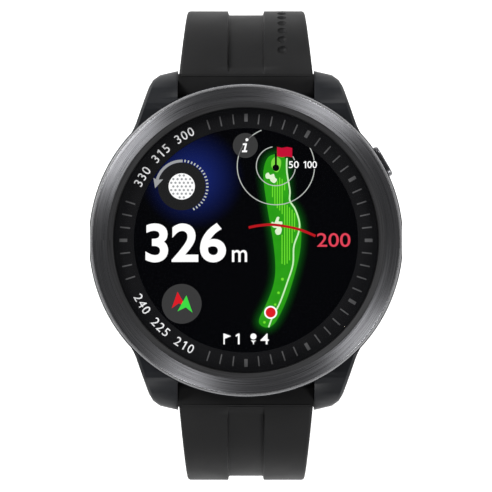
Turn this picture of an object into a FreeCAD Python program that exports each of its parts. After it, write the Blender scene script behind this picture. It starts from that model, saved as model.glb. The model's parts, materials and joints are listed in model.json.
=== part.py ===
import FreeCAD, Part

import math
import os
import re

import Sketcher

# Golf GPS watch, in millimetres. The dial faces +Z, 12 o'clock is +Y and 3 o'clock is +X.
# The origin is the centre of the flat face of the case back.

V = FreeCAD.Vector
X_AXIS = V(1, 0, 0)
Y_AXIS = V(0, 1, 0)
Z_AXIS = V(0, 0, 1)

doc = FreeCAD.newDocument("golf_gps_watch")
dims = doc.addObject("Spreadsheet::Sheet", "dims")

DIMENSIONS = (
    # case, from the back (0) to the bezel's crest
    ("case_radius", 23.35, "rim of the case"),
    ("case_flat", 23.2, "flats of the rim at 3 and 9 o'clock, from the centre"),
    ("case_low", 0.6, "lowest edge of the case wall"),
    ("case_top", 9.4, "face that carries the bezel"),
    ("cavity_radius", 19.0, "inside of the case"),
    ("floor_low", 1.6, "underside of the case floor"),
    ("floor_top", 2.6, "upper side of the case floor"),
    ("back_opening", 15.4, "opening in the case floor"),
    ("seat_radius", 20.95, "counterbore that takes the bezel's spigot"),
    ("seat_low", 8.0, "floor of that counterbore"),
    ("boss_radius", 1.3, "screw bosses on the case floor"),
    ("boss_top", 4.75, "their top"),
    # bezel and glass
    ("bezel_radius", 23.1, "outside of the bezel"),
    ("bezel_edge", 0.4, "width of its polished edge"),
    ("bezel_crest_radius", 20.56, "inner edge of the brushed face"),
    ("bezel_crest", 12.0, "height of that edge"),
    ("bezel_fall", 0.4, "drop of the brushed face to its outer edge"),
    ("bezel_lip", 19.7, "edge of the inner slope, round the glass"),
    ("glass_radius", 19.6, "cover glass"),
    ("glass_low", 10.4, "underside of the glass"),
    ("glass_top", 11.6, "face of the glass"),
    ("display_radius", 18.3, "display module"),
    ("active_radius", 16.65, "lit area of the display"),
    ("film_thick", 0.2, "glue film and printed ring"),
    ("display_low", 8.9, "underside of the display"),
    # lugs and straps
    ("lug_gap", 20.4, "between the lugs"),
    ("lug_reach", 25.5, "tip of a lug from the centre"),
    ("lug_root_x", 19.1, "where a lug's flank leaves the case, across"),
    ("lug_root_y", 13.3, "and along the strap"),
    ("lug_waist_x", 16.35, "end of the flank's hollow, across"),
    ("lug_waist_y", 17.5, "and along the strap"),
    ("lug_shoulder", 14.5, "shoulder of a lug, across"),
    ("lug_chamfer", 0.45, "chamfer along its upper edge"),
    ("bar_reach", 22.6, "spring bar from the centre"),
    ("bar_height", 3.9, "spring bar above the case back"),
    ("strap_pocket", 20.0, "case wall behind the strap's end"),
    ("pocket_top", 7.5, "rim above the strap's end"),
    ("strap_width", 20.0, "strap at the lugs"),
    ("strap_narrow", 18.0, "strap from its bend to its tip"),
    ("strap_thick", 2.8, "strap"),
    ("barrel_radius", 2.4, "strap end round the spring bar"),
    ("strap_start", 24.6, "step where the strap leaves its end block"),
    ("strap_start_top", 6.55, "top of that step"),
    ("strap_dip", 15.0, "angle at which the strap leaves, degrees below level"),
    ("channel_width", 5.34, "channel down the middle of the strap"),
    ("channel_deep", 0.6, "depth of the channel"),
    ("upper_reach", 35.3, "furthest point of the upper strap from the centre"),
    ("upper_turn", 24.0, "radius of its turn under the wrist"),
    ("upper_level", 23.5, "its level run to the buckle bar"),
    ("lower_reach", 37.0, "furthest point of the lower strap"),
    ("lower_side", 80.0, "radius of its side"),
    ("lower_side_turn", 25.0, "turn of its side, degrees"),
    ("lower_turn", 18.0, "radius of its turn under the wrist"),
    ("lower_level", 38.0, "its level run to the tip"),
    ("hole_pitch", 5.0, "between the holes of the lower strap"),
    ("hole_radius", 1.1, "those holes"),
    ("bar_tube_radius", 0.9, "tube of a spring bar"),
    ("bar_tube_half", 9.4, "half its length"),
    ("bar_bore", 0.6, "bore of the tube"),
    ("bar_pin", 0.45, "tips of a spring bar"),
    ("bar_pin_reach", 11.4, "end of a tip from the middle"),
    ("bar_hole", 0.5, "holes for the tips in the lugs"),
    ("lever_place", 7.2, "thumb lever from the middle"),
    ("lever_travel", 1.3, "slide of the thumb lever"),
    # buckle, on an axis across the end of the upper strap
    ("buckle_barrel", 2.0, "strap end round the buckle bar"),
    ("buckle_bar_radius", 0.8, "buckle bar"),
    ("buckle_inside", 18.8, "between the arms of the buckle"),
    ("buckle_arm", 1.8, "width of an arm"),
    ("buckle_long", 8.8, "from the bar to the end of the buckle"),
    ("buckle_cross", 2.0, "width of the crossbar"),
    ("buckle_half_thick", 1.1, "half the thickness of the buckle"),
    ("keeper_long", 4.5, "keeper along the strap"),
    ("keeper_wall", 1.2, "wall of a keeper"),
    ("keeper_room", 3.1, "room in a keeper for the strap's tail"),
    ("fixed_keeper_place", 7.7, "middle of the fixed keeper from the buckle bar"),
    ("sliding_keeper_place", 15.2, "middle of the sliding keeper from the buckle bar"),
    # button, along its own axis
    ("button_angle", 30.0, "button above 3 o'clock, degrees"),
    ("button_height", 6.4, "its axis above the case back"),
    ("button_face", 24.0, "its outer face from the centre"),
    ("button_thick", 1.1, "thickness of the cap"),
    ("button_round", 1.2, "radius of the cap's ends"),
    ("button_half_flat", 1.25, "half the straight length of the cap"),
    ("button_recess", 22.2, "floor of the recess round the cap"),
    ("button_gap", 0.35, "gap round the cap"),
    ("button_bore", 1.3, "hole through the case"),
    ("stem_radius", 0.8, "stem"),
    ("stem_inner", 18.2, "inner end of the stem from the centre"),
    ("sleeve_outer", 20.9, "outer end of the sleeve"),
    ("sleeve_inner", 19.0, "inner end of the sleeve"),
    # inside
    ("carrier_low", 4.8, "underside of the carrier plate"),
    ("carrier_top", 5.5, "its upper side"),
    ("board_top", 6.3, "upper side of the main board"),
    ("board_radius", 17.4, "main board"),
    ("cover_radius", 19.0, "back cover"),
    ("cover_flat", 15.0, "flat face of the back cover"),
    ("cover_inside", 1.4, "inner face of the back cover"),
    ("screw_circle", 17.5, "circle of the back screws"),
    ("screw_head", 1.1, "head of a back screw, its radius and its depth from the back"),
    ("screw_shank", 0.6, "its shank"),
    ("gasket_circle", 16.0, "circle of the back gasket"),
    ("gasket_half", 0.3, "half its width"),
    ("contact_radius", 0.8, "charging contact"),
    ("contact_low", 0.15, "face of the contacts above the case back"),
    ("contact_half", 6.45, "half the length of their carrier"),
    ("board_screw_circle", 15.8, "circle of the board's screws"),
    ("board_screw", 0.4, "shank of a board screw"),
    ("contact_place", 11.0, "charging contacts from the centre"),
    ("contact_pitch", 2.5, "between charging contacts"),
)
NAMES = {alias for alias, _, _ in DIMENSIONS}


def fill_sheet():
    for row, (alias, number, meaning) in enumerate(DIMENSIONS, start=1):
        dims.set(f"A{row}", meaning)
        dims.set(f"B{row}", str(number))
        dims.setAlias(f"B{row}", alias)
    doc.recompute()


def formula(text):
    """The same formula with each dimension's name pointing at its cell."""
    return re.sub(r"[a-z_]+", lambda m: f"dims.{m.group()}" if m.group() in NAMES else m.group(), text)


def value(text):
    return float(dims.evalExpression(formula(text)))


# ---------------------------------------------------------------- small helpers


def finished(thing, name):
    """Names a sub-part, so that it is written to its own file."""
    thing.Label = name
    parts.append(thing)
    return thing


def put(thing, x="0", y="0", z="0", axis=Z_AXIS, angle=0.0):
    thing.Placement = FreeCAD.Placement(V(), FreeCAD.Rotation(axis, angle))
    for letter, text in (("x", x), ("y", y), ("z", z)):
        if text != "0":
            thing.setExpression(f"Placement.Base.{letter}", formula(text))
    return thing


def box(name, low, high):
    """A box between two corners, each a list of three formulas."""
    thing = doc.addObject("Part::Box", name)
    for side, a, b in zip(("Length", "Width", "Height"), low, high):
        thing.setExpression(side, formula(f"({b}) - ({a})"))
    return put(thing, *low)


def rod(name, radius, start, end, x="0", y="0", z="0", axis="z"):
    """A cylinder along one axis, from one formula to another, through the point given."""
    thing = doc.addObject("Part::Cylinder", name)
    thing.setExpression("Radius", formula(radius))
    thing.setExpression("Height", formula(f"({end}) - ({start})"))
    if axis == "x":
        return put(thing, start, y, z, Y_AXIS, 90)
    return put(thing, x, y, start)


def fuse(name, things):
    thing = doc.addObject("Part::MultiFuse", name)
    thing.Shapes = things
    return thing


def cut(name, base, tools):
    thing = doc.addObject("Part::Cut", name)
    thing.Base = base
    thing.Tool = tools[0] if len(tools) == 1 else fuse(name + "_tools", tools)
    cuts.append(thing)
    return thing


def new_body(name):
    return doc.addObject("PartDesign::Body", name)


def sketch_on(body, role):
    plane = next(f for f in body.Origin.OriginFeatures if f.Role == role)
    sketch = body.newObject("Sketcher::SketchObject", f"{body.Name}_sketch")
    sketch.AttachmentSupport = (plane, [""])
    sketch.MapMode = "FlatFace"
    return sketch


def arc_between(start, end, radius):
    """The arc from start to end. A positive radius turns left on the way, a negative one right."""
    half = (end - start) * 0.5
    side = V(-half.y, half.x, 0).normalize()
    reach = math.sqrt(max(0.0, radius * radius - half.Length ** 2))
    centre = start + half + side * math.copysign(reach, radius)
    first, last = (start, end) if radius > 0 else (end, start)
    angles = [math.atan2(p.y - centre.y, p.x - centre.x) for p in (first, last)]
    return Part.ArcOfCircle(Part.Circle(centre, Z_AXIS, abs(radius)), *angles)


def outline(body, role, corners):
    """A closed outline on an origin plane. Each corner is (x, y), or (x, y, radius) where the edge
    that leaves it is an arc. All are formulas, and each one becomes a constraint of the sketch. A half
    circle, whose ends lie one above the other, has its centre held in place of its radius."""
    sketch = sketch_on(body, role)
    points = [V(value(c[0]), value(c[1]), 0) for c in corners]
    ends = []
    for i, corner in enumerate(corners):
        a, b = points[i], points[(i + 1) % len(points)]
        if len(corner) == 2:
            edge = sketch.addGeometry(Part.LineSegment(a, b), False)
            ends.append((edge, 1, 2))
            continue
        radius = value(corner[2])
        edge = sketch.addGeometry(arc_between(a, b, radius), False)
        ends.append((edge, 1, 2) if radius > 0 else (edge, 2, 1))
        if (b - a).Length < 2 * abs(radius) - 0.01:
            rule = sketch.addConstraint(Sketcher.Constraint("Radius", edge, abs(radius)))
            sketch.setExpression(f"Constraints[{rule}]", formula(f"abs({corner[2]})"))
        else:
            rule = sketch.addConstraint(Sketcher.Constraint("DistanceX", -1, 1, edge, 3, a.x))
            sketch.setExpression(f"Constraints[{rule}]", formula(corner[0]))
    for i, (edge, _, last) in enumerate(ends):
        following, first, _ = ends[(i + 1) % len(ends)]
        sketch.addConstraint(Sketcher.Constraint("Coincident", edge, last, following, first))
    for (edge, first, _), corner, point in zip(ends, corners, points):
        for kind, text, number in (("DistanceX", corner[0], point.x), ("DistanceY", corner[1], point.y)):
            rule = sketch.addConstraint(Sketcher.Constraint(kind, -1, 1, edge, first, number))
            sketch.setExpression(f"Constraints[{rule}]", formula(text))
    return sketch


def revolved(name, corners):
    """A body turned about Z from corners given as (radius, height)."""
    body = new_body(name)
    sketch = outline(body, "XZ_Plane", corners)
    turn = body.newObject("PartDesign::Revolution", f"{name}_turn")
    turn.Profile = sketch
    turn.ReferenceAxis = (sketch, ["V_Axis"])
    turn.Angle = 360
    return body


def ring(name, inner, outer, low, high):
    return revolved(name, [(inner, low), (outer, low), (outer, high), (inner, high)])


def padded(name, role, corners, length, both_ways=False):
    body = new_body(name)
    sketch = outline(body, role, corners)
    pad = body.newObject("PartDesign::Pad", f"{name}_pad")
    pad.Profile = sketch
    pad.setExpression("Length", formula(length))
    if both_ways:
        pad.SideType = "Symmetric"
    return body


def mirrored(name, source, normal):
    thing = doc.addObject("Part::Mirroring", name)
    thing.Source = source
    thing.Normal = normal
    return thing


def coil(name, radius, wire, length, turns):
    """A coil spring along its own Z, from 0 to its length."""
    pitch = f"({length} - 2 * {wire}) / {turns}"
    helix = doc.addObject("Part::Helix", name + "_line")
    helix.setExpression("Radius", formula(radius))
    helix.setExpression("Pitch", formula(pitch))
    helix.setExpression("Height", formula(f"{length} - 2 * {wire}"))
    section = doc.addObject("Part::Circle", name + "_wire")
    section.setExpression("Radius", formula(wire))
    put(section, x=radius, axis=X_AXIS, angle=90)
    sweep = doc.addObject("Part::Sweep", name)
    sweep.Sections = [section]
    sweep.Spine = (helix, ["Edge1"])
    sweep.Solid = True
    sweep.Frenet = True
    return sweep


def pleated(name, inner, outer, wall, length, folds):
    """A pleated spring tube about Z, from 0 to its length. Its outer skin runs between two radii."""
    levels = [f"({length}) * {i} / {2 * folds}" for i in range(2 * folds + 1)]
    skin = [(outer if i % 2 else inner, level) for i, level in enumerate(levels)]
    inside = [(f"{radius} - {wall}", level) for radius, level in reversed(skin)]
    return revolved(name, skin + inside)


# ---------------------------------------------------------------- case, bezel and glass


def lug():
    """One lug, at upper right: its plan and its side view, both cut from the same block."""
    plan = padded("lug_plan", "XY_Plane", [
        ("lug_gap / 2", "15"),
        ("15", "10"),
        ("lug_root_x", "lug_root_y", "-12"),
        ("lug_waist_x", "lug_waist_y"),
        ("lug_shoulder", "lug_reach - 2.6"),
        ("lug_shoulder - 0.6", "lug_reach - 1.5"),
        ("lug_shoulder - 1.6", "lug_reach - 0.7"),
        ("lug_gap / 2", "lug_reach"),
    ], "case_top")
    side = padded("lug_side", "YZ_Plane", [
        ("14", "1"),
        ("lug_reach - 4", "1", "5"),
        ("lug_reach", "bar_height - 0.5"),
        ("lug_reach", "bar_height + 0.5", "9"),
        ("lug_reach - 5.5", "case_top - 0.5"),
        ("14", "case_top - 0.2"),
    ], "case_radius")
    block = doc.addObject("Part::MultiCommon", "lug_block")
    block.Shapes = [plan, side]
    doc.recompute()
    eased = doc.addObject("Part::Chamfer", "lug_eased")
    eased.Base = block
    size = value("lug_chamfer")
    eased.Edges = [(i, size, size) for i, e in enumerate(block.Shape.Edges, start=1) if outer_lug_edge(e)]
    return eased


def outer_lug_edge(edge):
    """Is this an edge of the lug's upper side, along its outer flank or its tip?"""
    if edge.Length < 0.5:
        return False
    middle = edge.valueAt((edge.FirstParameter + edge.LastParameter) / 2)
    upper = middle.z > value("bar_height + 0.4")
    outer = middle.x > value("lug_gap / 2 + 0.3") and middle.y > 15.5
    vertical = edge.BoundBox.XLength < 0.01 and edge.BoundBox.YLength < 0.01
    return upper and outer and not vertical


def button_slot(name, start, end, extra="0"):
    """The rounded outline of the button's cap, grown by extra, from one radius to another."""
    half, end_radius = "button_half_flat", f"button_round + {extra}"
    slot = padded(name, "YZ_Plane", [
        (f"-{half}", f"-({end_radius})"),
        (half, f"-({end_radius})", end_radius),
        (half, end_radius),
        (f"-{half}", end_radius, end_radius),
    ], f"({end}) - ({start})")
    return slot


def at_button(thing, start="0"):
    """Turns a piece that lies along X to the button's place, at its distance from the centre."""
    put(thing, f"({start}) * cos(button_angle)", f"({start}) * sin(button_angle)", "button_height")
    thing.setExpression("Placement.Rotation.Angle", formula("button_angle"))
    return thing


def along_button(thing, start):
    """Lays a piece that stands on Z along the button's line, from a distance to the centre outwards."""
    turn = FreeCAD.Rotation(Z_AXIS, value("button_angle")).multiply(FreeCAD.Rotation(Y_AXIS, 90))
    thing.Placement = FreeCAD.Placement(V(), turn)
    thing.setExpression("Placement.Base.x", formula(f"({start}) * cos(button_angle)"))
    thing.setExpression("Placement.Base.y", formula(f"({start}) * sin(button_angle)"))
    thing.setExpression("Placement.Base.z", formula("button_height"))
    return thing


def button_rod(name, radius, start, end):
    thing = doc.addObject("Part::Cylinder", name)
    thing.setExpression("Radius", formula(radius))
    thing.setExpression("Height", formula(f"({end}) - ({start})"))
    return along_button(thing, start)


def button_box(name, near, far, half, low, high):
    """A box on the button's line, from one distance from the centre to another."""
    thing = doc.addObject("Part::Box", name)
    for side, text in (("Length", f"({far}) - ({near})"), ("Width", f"2 * ({half})"),
                       ("Height", f"({high}) - ({low})")):
        thing.setExpression(side, formula(text))
    put(thing, f"({near}) * cos(button_angle) + ({half}) * sin(button_angle)",
        f"({near}) * sin(button_angle) - ({half}) * cos(button_angle)", low)
    thing.setExpression("Placement.Rotation.Angle", formula("button_angle"))
    return thing


def screw_places():
    return [(f"screw_circle * cos({a})", f"screw_circle * sin({a})") for a in (45, 135, 225, 315)]


def mid_case():
    shell = revolved("case_blank", [
        ("0", "case_low"),
        ("20.4", "case_low"),
        ("22.3", "2.8"),
        ("23", "5.5"),
        ("case_radius", "8"),
        ("case_radius", "case_top"),
        ("0", "case_top"),
    ])
    limits = box("rim_flats", ["-case_flat", "-30", "0"], ["case_flat", "30", "10"])
    round_case = doc.addObject("Part::MultiCommon", "round_case")
    round_case.Shapes = [shell, limits]
    first = lug()
    left = mirrored("lug_upper_left", first, X_AXIS)
    lower = [mirrored("lug_lower_right", first, Y_AXIS), mirrored("lug_lower_left", left, Y_AXIS)]
    blank = fuse("case_and_lugs", [round_case, first, left] + lower)
    hollow = revolved("case_hollow", [
        ("0", "0"),
        ("cover_radius + 0.1", "0"),
        ("cover_radius + 0.1", "floor_low"),
        ("back_opening", "floor_low"),
        ("back_opening", "floor_top"),
        ("cavity_radius", "floor_top"),
        ("cavity_radius", "seat_low"),
        ("seat_radius", "seat_low"),
        ("seat_radius", "12"),
        ("0", "12"),
    ])
    hollowed = cut("case_shell", blank, [hollow])
    bosses = [rod(f"boss_{i}", "boss_radius", "floor_top", "boss_top", x, y)
              for i, (x, y) in enumerate(screw_places())]
    with_bosses = fuse("case_with_bosses", [hollowed] + bosses)
    tools = [
        box("upper_pocket", ["-lug_gap / 2", "strap_pocket", "-1"], ["lug_gap / 2", "30", "pocket_top"]),
        box("lower_pocket", ["-lug_gap / 2", "-30", "-1"], ["lug_gap / 2", "-strap_pocket", "pocket_top"]),
        ring("gasket_groove", "gasket_circle - gasket_half - 0.05", "gasket_circle + gasket_half + 0.05",
             "1", "floor_low + 0.45"),
        at_button(button_slot("button_scoop", "button_recess", "26", "button_gap"), "button_recess"),
        button_rod("button_way", "button_bore", "18", "23"),
    ]
    for name, sign in (("upper", ""), ("lower", "-")):
        tools.append(rod(f"{name}_bar_way", "bar_hole", "-11.8", "11.8", y=f"{sign}bar_reach",
                         z="bar_height", axis="x"))
    for i, (x, y) in enumerate(screw_places()):
        tools.append(rod(f"thread_{i}", "screw_shank + 0.03", "1", "boss_top - 0.35", x, y))
    finished(cut("mid_case", with_bosses, tools), "mid_case")


def bezel_and_glass():
    finished(revolved("bezel_ring", [
        ("seat_radius - 0.05", "seat_low + 0.4"),
        ("seat_radius - 0.05", "case_top"),
        ("bezel_radius", "case_top"),
        ("bezel_radius", "bezel_crest - bezel_fall - bezel_edge"),
        ("bezel_radius - bezel_edge", "bezel_crest - bezel_fall"),
        ("bezel_crest_radius", "bezel_crest"),
        ("bezel_lip", "glass_top + 0.02"),
        ("bezel_lip", "glass_top - 0.25"),
        ("bezel_lip + 0.25", "glass_top - 0.25"),
        ("bezel_lip + 0.25", "glass_low - film_thick"),
        ("display_radius + 0.6", "glass_low - film_thick"),
        ("display_radius + 0.6", "seat_low + 0.4"),
    ]), "bezel_ring")
    finished(revolved("cover_glass", [
        ("0", "glass_low"),
        ("glass_radius", "glass_low"),
        ("glass_radius", "glass_top - 0.2"),
        ("glass_radius - 0.25", "glass_top"),
        ("0", "glass_top"),
    ]), "cover_glass")
    finished(ring("glass_gasket", "glass_radius + 0.02", "bezel_lip + 0.23", "glass_low - 0.15",
                  "glass_top - 0.3"), "glass_gasket")
    finished(ring("dial_ring", "active_radius", "glass_radius - 0.05", "glass_low - film_thick",
                  "glass_low"), "dial_ring")
    finished(rod("optical_film", "active_radius - 0.05", "glass_low - film_thick", "glass_low"),
             "optical_film")
    finished(rod("display_panel", "display_radius", "display_low", "glass_low - film_thick"),
             "display_panel")
    finished(ring("bezel_gasket", "cavity_radius + 0.8", "seat_radius - 0.15", "seat_low",
                  "seat_low + 0.4"), "bezel_gasket")


def back():
    plate = revolved("cover_blank", [
        ("0", "0"),
        ("cover_flat", "0"),
        ("cover_radius", "case_low + 0.1"),
        ("cover_radius", "floor_low"),
        ("back_opening - 0.05", "floor_low"),
        ("back_opening - 0.05", "floor_top - 0.2"),
        ("back_opening - 1", "floor_top - 0.2"),
        ("back_opening - 1", "cover_inside"),
        ("0", "cover_inside"),
    ])
    tools = [box("contact_window", ["-contact_half - 0.05", "-contact_place - 1.8", "-1"],
                 ["contact_half + 0.05", "-contact_place + 1.8", "floor_top"])]
    for i, (x, y) in enumerate(screw_places()):
        tools.append(rod(f"head_room_{i}", "screw_head + 0.1", "-1", "screw_head", x, y))
        tools.append(rod(f"shank_room_{i}", "screw_shank + 0.1", "-1", "floor_top", x, y))
    finished(cut("back_cover", plate, tools), "back_cover")
    finished(ring("back_gasket", "gasket_circle - gasket_half", "gasket_circle + gasket_half", "floor_low",
                  "floor_low + 0.4"), "back_gasket")
    screws = []
    for i, (x, y) in enumerate(screw_places()):
        head = rod(f"back_screw_head_{i}", "screw_head", "screw_head / 2", "screw_head", x, y)
        shank = rod(f"back_screw_shank_{i}", "screw_shank", "screw_head - 0.1", "boss_top - 0.55", x, y)
        drive = box(f"back_screw_drive_{i}", [f"{x} - 0.9", f"{y} - 0.14", "screw_head / 2 - 0.1"],
                    [f"{x} + 0.9", f"{y} + 0.14", "screw_head / 2 + 0.2"])
        screws.append(cut(f"back_screw_{i}", fuse(f"back_screw_blank_{i}", [head, shank]), [drive]))
    finished(grouped("back_screws", screws), "back_screws")
    bases = [f"{k} * contact_pitch" for k in (-1.5, -0.5, 0.5, 1.5)]
    pads = [rod(f"contact_{i}", "contact_radius", "contact_low", "cover_inside + 0.1", x, "-contact_place")
            for i, x in enumerate(bases)]
    holes = [rod(f"contact_hole_{i}", "contact_radius + 0.02", "0", "floor_top", x, "-contact_place")
             for i, x in enumerate(bases)]
    insert = box("contact_insert", ["-contact_half", "-contact_place - 1.75", "contact_low"],
                 ["contact_half", "-contact_place + 1.75", "cover_inside"])
    finished(cut("contact_carrier", insert, holes), "contact_carrier")
    finished(grouped("charging_contacts", pads), "charging_contacts")


def grouped(name, things):
    thing = doc.addObject("Part::Compound", name)
    thing.Links = things
    return thing


# ---------------------------------------------------------------- inside the case


def carrier_and_board():
    cup = revolved("carrier_blank", [
        ("0", "carrier_low"),
        ("cavity_radius - 0.2", "carrier_low"),
        ("cavity_radius - 0.2", "display_low - 0.05"),
        ("cavity_radius - 1.3", "display_low - 0.05"),
        ("cavity_radius - 1.3", "carrier_top"),
        ("0", "carrier_top"),
    ])
    screw_turns = (60, 180, 300)
    places = [(f"board_screw_circle * cos({a})", f"board_screw_circle * sin({a})") for a in screw_turns]
    window = button_box("switch_window", "15.6", "20", "3", "carrier_top", "carrier_top + 2.4")
    clip_room = button_box("clip_room", "17.7", "20", "1.8", "4", "carrier_top + 2.6")
    threads = [rod(f"board_thread_{i}", "board_screw + 0.02", "carrier_low + 0.1", "board_top", x, y)
               for i, (x, y) in enumerate(places)]
    slit = box("flex_slit", ["-3", "-10.4", "4"], ["3", "-9.6", "6"])
    finished(cut("carrier_frame", cup, [window, clip_room, slit] + threads), "carrier_frame")
    disc = rod("board_disc", "board_radius", "carrier_top", "board_top")
    notch = button_box("board_notch", "15.5", "20", "3", "carrier_top - 0.5", "board_top + 1")
    holes = [rod(f"board_hole_{i}", "board_screw + 0.05", "carrier_low", "board_top + 1", x, y)
             for i, (x, y) in enumerate(places)]
    finished(cut("main_board", disc, [notch] + holes), "main_board")
    screws = []
    for i, (x, y) in enumerate(places):
        head = rod(f"board_head_{i}", "0.85", "board_top", "board_top + 0.4", x, y)
        shank = rod(f"board_shank_{i}", "board_screw", "carrier_low + 0.2", "board_top + 0.1", x, y)
        screws.append(fuse(f"board_screw_{i}", [head, shank]))
    finished(grouped("board_screws", screws), "board_screws")
    finished(box("shield_can", ["-12", "-1", "board_top"], ["3", "11", "board_top + 1.3"]), "shield_can")
    finished(box("gps_antenna", ["-4.5", "-14", "board_top"], ["4.5", "-5", "board_top + 1.6"]),
             "gps_antenna")


def power_and_alerts():
    finished(box("battery", ["-10", "-9.5", "cover_inside + 0.2"], ["10", "9.5", "carrier_low - 0.05"]),
             "battery")
    finished(box("battery_pad", ["-9", "-8.5", "cover_inside"], ["9", "8.5", "cover_inside + 0.2"]),
             "battery_pad")
    finished(rod("vibration_motor", "4", "floor_top + 0.1", "carrier_low - 0.1", "0", "-14.7"),
             "vibration_motor")
    finished(rod("alert_buzzer", "4.2", "floor_top + 0.1", "carrier_low - 0.4", "0", "14.5"),
             "alert_buzzer")


def flexes():
    drop = box("display_flex_drop", ["-3", "16", "board_top"], ["3", "16.2", "display_low"])
    foot = box("display_flex_foot", ["-3", "13.5", "board_top"], ["3", "16.2", "board_top + 0.2"])
    finished(fuse("display_flex", [drop, foot]), "display_flex")
    rise = box("charging_flex_rise", ["-2.5", "-10.1", "cover_inside + 0.1"], ["2.5", "-9.9", "carrier_top"])
    tail = box("charging_flex_tail", ["-5", "-contact_place - 1", "cover_inside + 0.1"],
               ["5", "-9.9", "cover_inside + 0.3"])
    finished(fuse("charging_flex", [rise, tail]), "charging_flex")


# ---------------------------------------------------------------- button


def button():
    cap = button_slot("button_cap", "button_face - button_thick", "button_face")
    at_button(cap, "button_face - button_thick")
    doc.recompute()
    rim = [f"Edge{i}" for i, e in enumerate(cap.Shape.Edges, start=1)
           if all((v.Point - V(0, 0, v.Point.z)).Length > value("button_face") - 0.01 for v in e.Vertexes)]
    block = cap.Tip
    eased = cap.newObject("PartDesign::Fillet", "button_cap_round")
    eased.Base = (block, rim)
    eased.Radius = 0.3
    finished(cap, "button_cap")
    finished(button_rod("button_stem", "stem_radius", "stem_inner", "button_face - button_thick"),
             "button_stem")
    clip = button_rod("button_clip_disc", "1.4", "sleeve_inner - 0.4", "sleeve_inner - 0.05")
    clip_hole = button_rod("button_clip_hole", "stem_radius", "18", "21")
    finished(cut("button_clip", clip, [clip_hole]), "button_clip")
    tube = button_rod("button_sleeve_blank", "button_bore - 0.02", "sleeve_inner", "sleeve_outer")
    bore = button_rod("button_sleeve_bore", "stem_radius + 0.04", "18", "22")
    groove = button_rod("button_sleeve_groove", "1.15", "sleeve_inner + 0.4", "sleeve_outer - 0.4")
    finished(cut("button_sleeve", tube, [bore, groove]), "button_sleeve")
    seal = button_rod("button_oring_blank", "1.13", "sleeve_inner + 0.42", "sleeve_outer - 0.42")
    seal_bore = button_rod("button_oring_bore", "stem_radius + 0.03", "18", "22")
    finished(cut("button_oring", seal, [seal_bore]), "button_oring")
    spring = pleated("button_spring", "1", "1.24", "0.1", "button_face - button_thick - sleeve_outer", 4)
    along_button(spring, "sleeve_outer")
    finished(spring, "button_spring")
    finished(button_box("button_switch", "stem_inner - 2.4", "stem_inner - 0.55", "1.9", "carrier_top",
                        "carrier_top + 1.8"), "button_switch")


# ---------------------------------------------------------------- spring bars


def across(name, radius, start, end):
    """A rod on the spring bar's axis."""
    return rod(name, radius, start, end, y="bar_reach", z="bar_height", axis="x")


def turned(name, source, side):
    """The piece itself at the upper strap, or its half-turned copy at the lower one."""
    if side == "upper":
        return source
    thing = doc.addObject("Part::Compound", name + "_turned")
    thing.Links = [source]
    return put(thing, axis=Z_AXIS, angle=180)


def spring_bar(side):
    name = f"{side}_bar"
    plug = "bar_tube_half - 0.4"
    tube = across(f"{name}_tube_blank", "bar_tube_radius", "-bar_tube_half", "bar_tube_half")
    bore = across(f"{name}_tube_bore", "bar_bore", f"-({plug})", plug)
    mouths = across(f"{name}_tube_mouths", "bar_hole", "-12", "12")
    slot = box(f"{name}_tube_slot", ["lever_place - lever_travel - 0.5", "bar_reach - 0.45", "0"],
               ["lever_place + 0.5", "bar_reach + 0.45", "bar_height"])
    tube = cut(f"{name}_tube_made", tube, [bore, mouths, slot])
    finished(turned(f"{name}_tube", tube, side), f"{name}_tube")
    fixed = fuse(f"{name}_fixed_made", [
        across(f"{name}_fixed_plug", "bar_bore - 0.02", f"-({plug})", "-7"),
        across(f"{name}_fixed_pin", "bar_pin", "-bar_pin_reach", "-7.5"),
    ])
    finished(turned(f"{name}_fixed_tip", fixed, side), f"{name}_fixed_tip")
    thumb = rod(f"{name}_thumb", "0.4", "bar_height - 3.1", "bar_height", "lever_place", "bar_reach")
    lever = fuse(f"{name}_lever_made", [
        across(f"{name}_lever_plug", "bar_bore - 0.05", "6", f"{plug} - 0.05"),
        across(f"{name}_lever_pin", "bar_pin", "8", "bar_pin_reach"),
        thumb,
    ])
    finished(turned(f"{name}_lever", lever, side), f"{name}_lever")
    spring = coil(f"{name}_spring_made", "0.42", "0.1", "12.8", 16)
    spring.Placement = FreeCAD.Placement(
        V(-6.85, value("bar_reach"), value("bar_height")), FreeCAD.Rotation(Y_AXIS, 90))
    finished(turned(f"{name}_spring", spring, side), f"{name}_spring")


# ---------------------------------------------------------------- straps


def heading(degrees):
    return V(0, math.cos(math.radians(degrees)), math.sin(math.radians(degrees)))


def inward(degrees):
    """To the right of the way the strap runs, which is the wearer's side."""
    return V(0, math.sin(math.radians(degrees)), -math.cos(math.radians(degrees)))


def follow(start, degrees, runs, depth):
    """Edges along the strap at one depth below its outer face. A run is (radius, turn in degrees),
    or (0, length) where it is straight."""
    edges = []
    here = start
    for radius, amount in runs:
        first = here + inward(degrees) * depth
        if radius == 0:
            here = here + heading(degrees) * amount
            edges.append(Part.LineSegment(first, here + inward(degrees) * depth).toShape())
            continue
        centre = here + inward(degrees) * radius
        middle = centre - inward(degrees - amount / 2) * (radius - depth)
        degrees -= amount
        here = centre - inward(degrees) * radius
        last = here + inward(degrees) * depth
        edges.append(Part.Arc(first, middle, last).toShape())
    return edges


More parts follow.
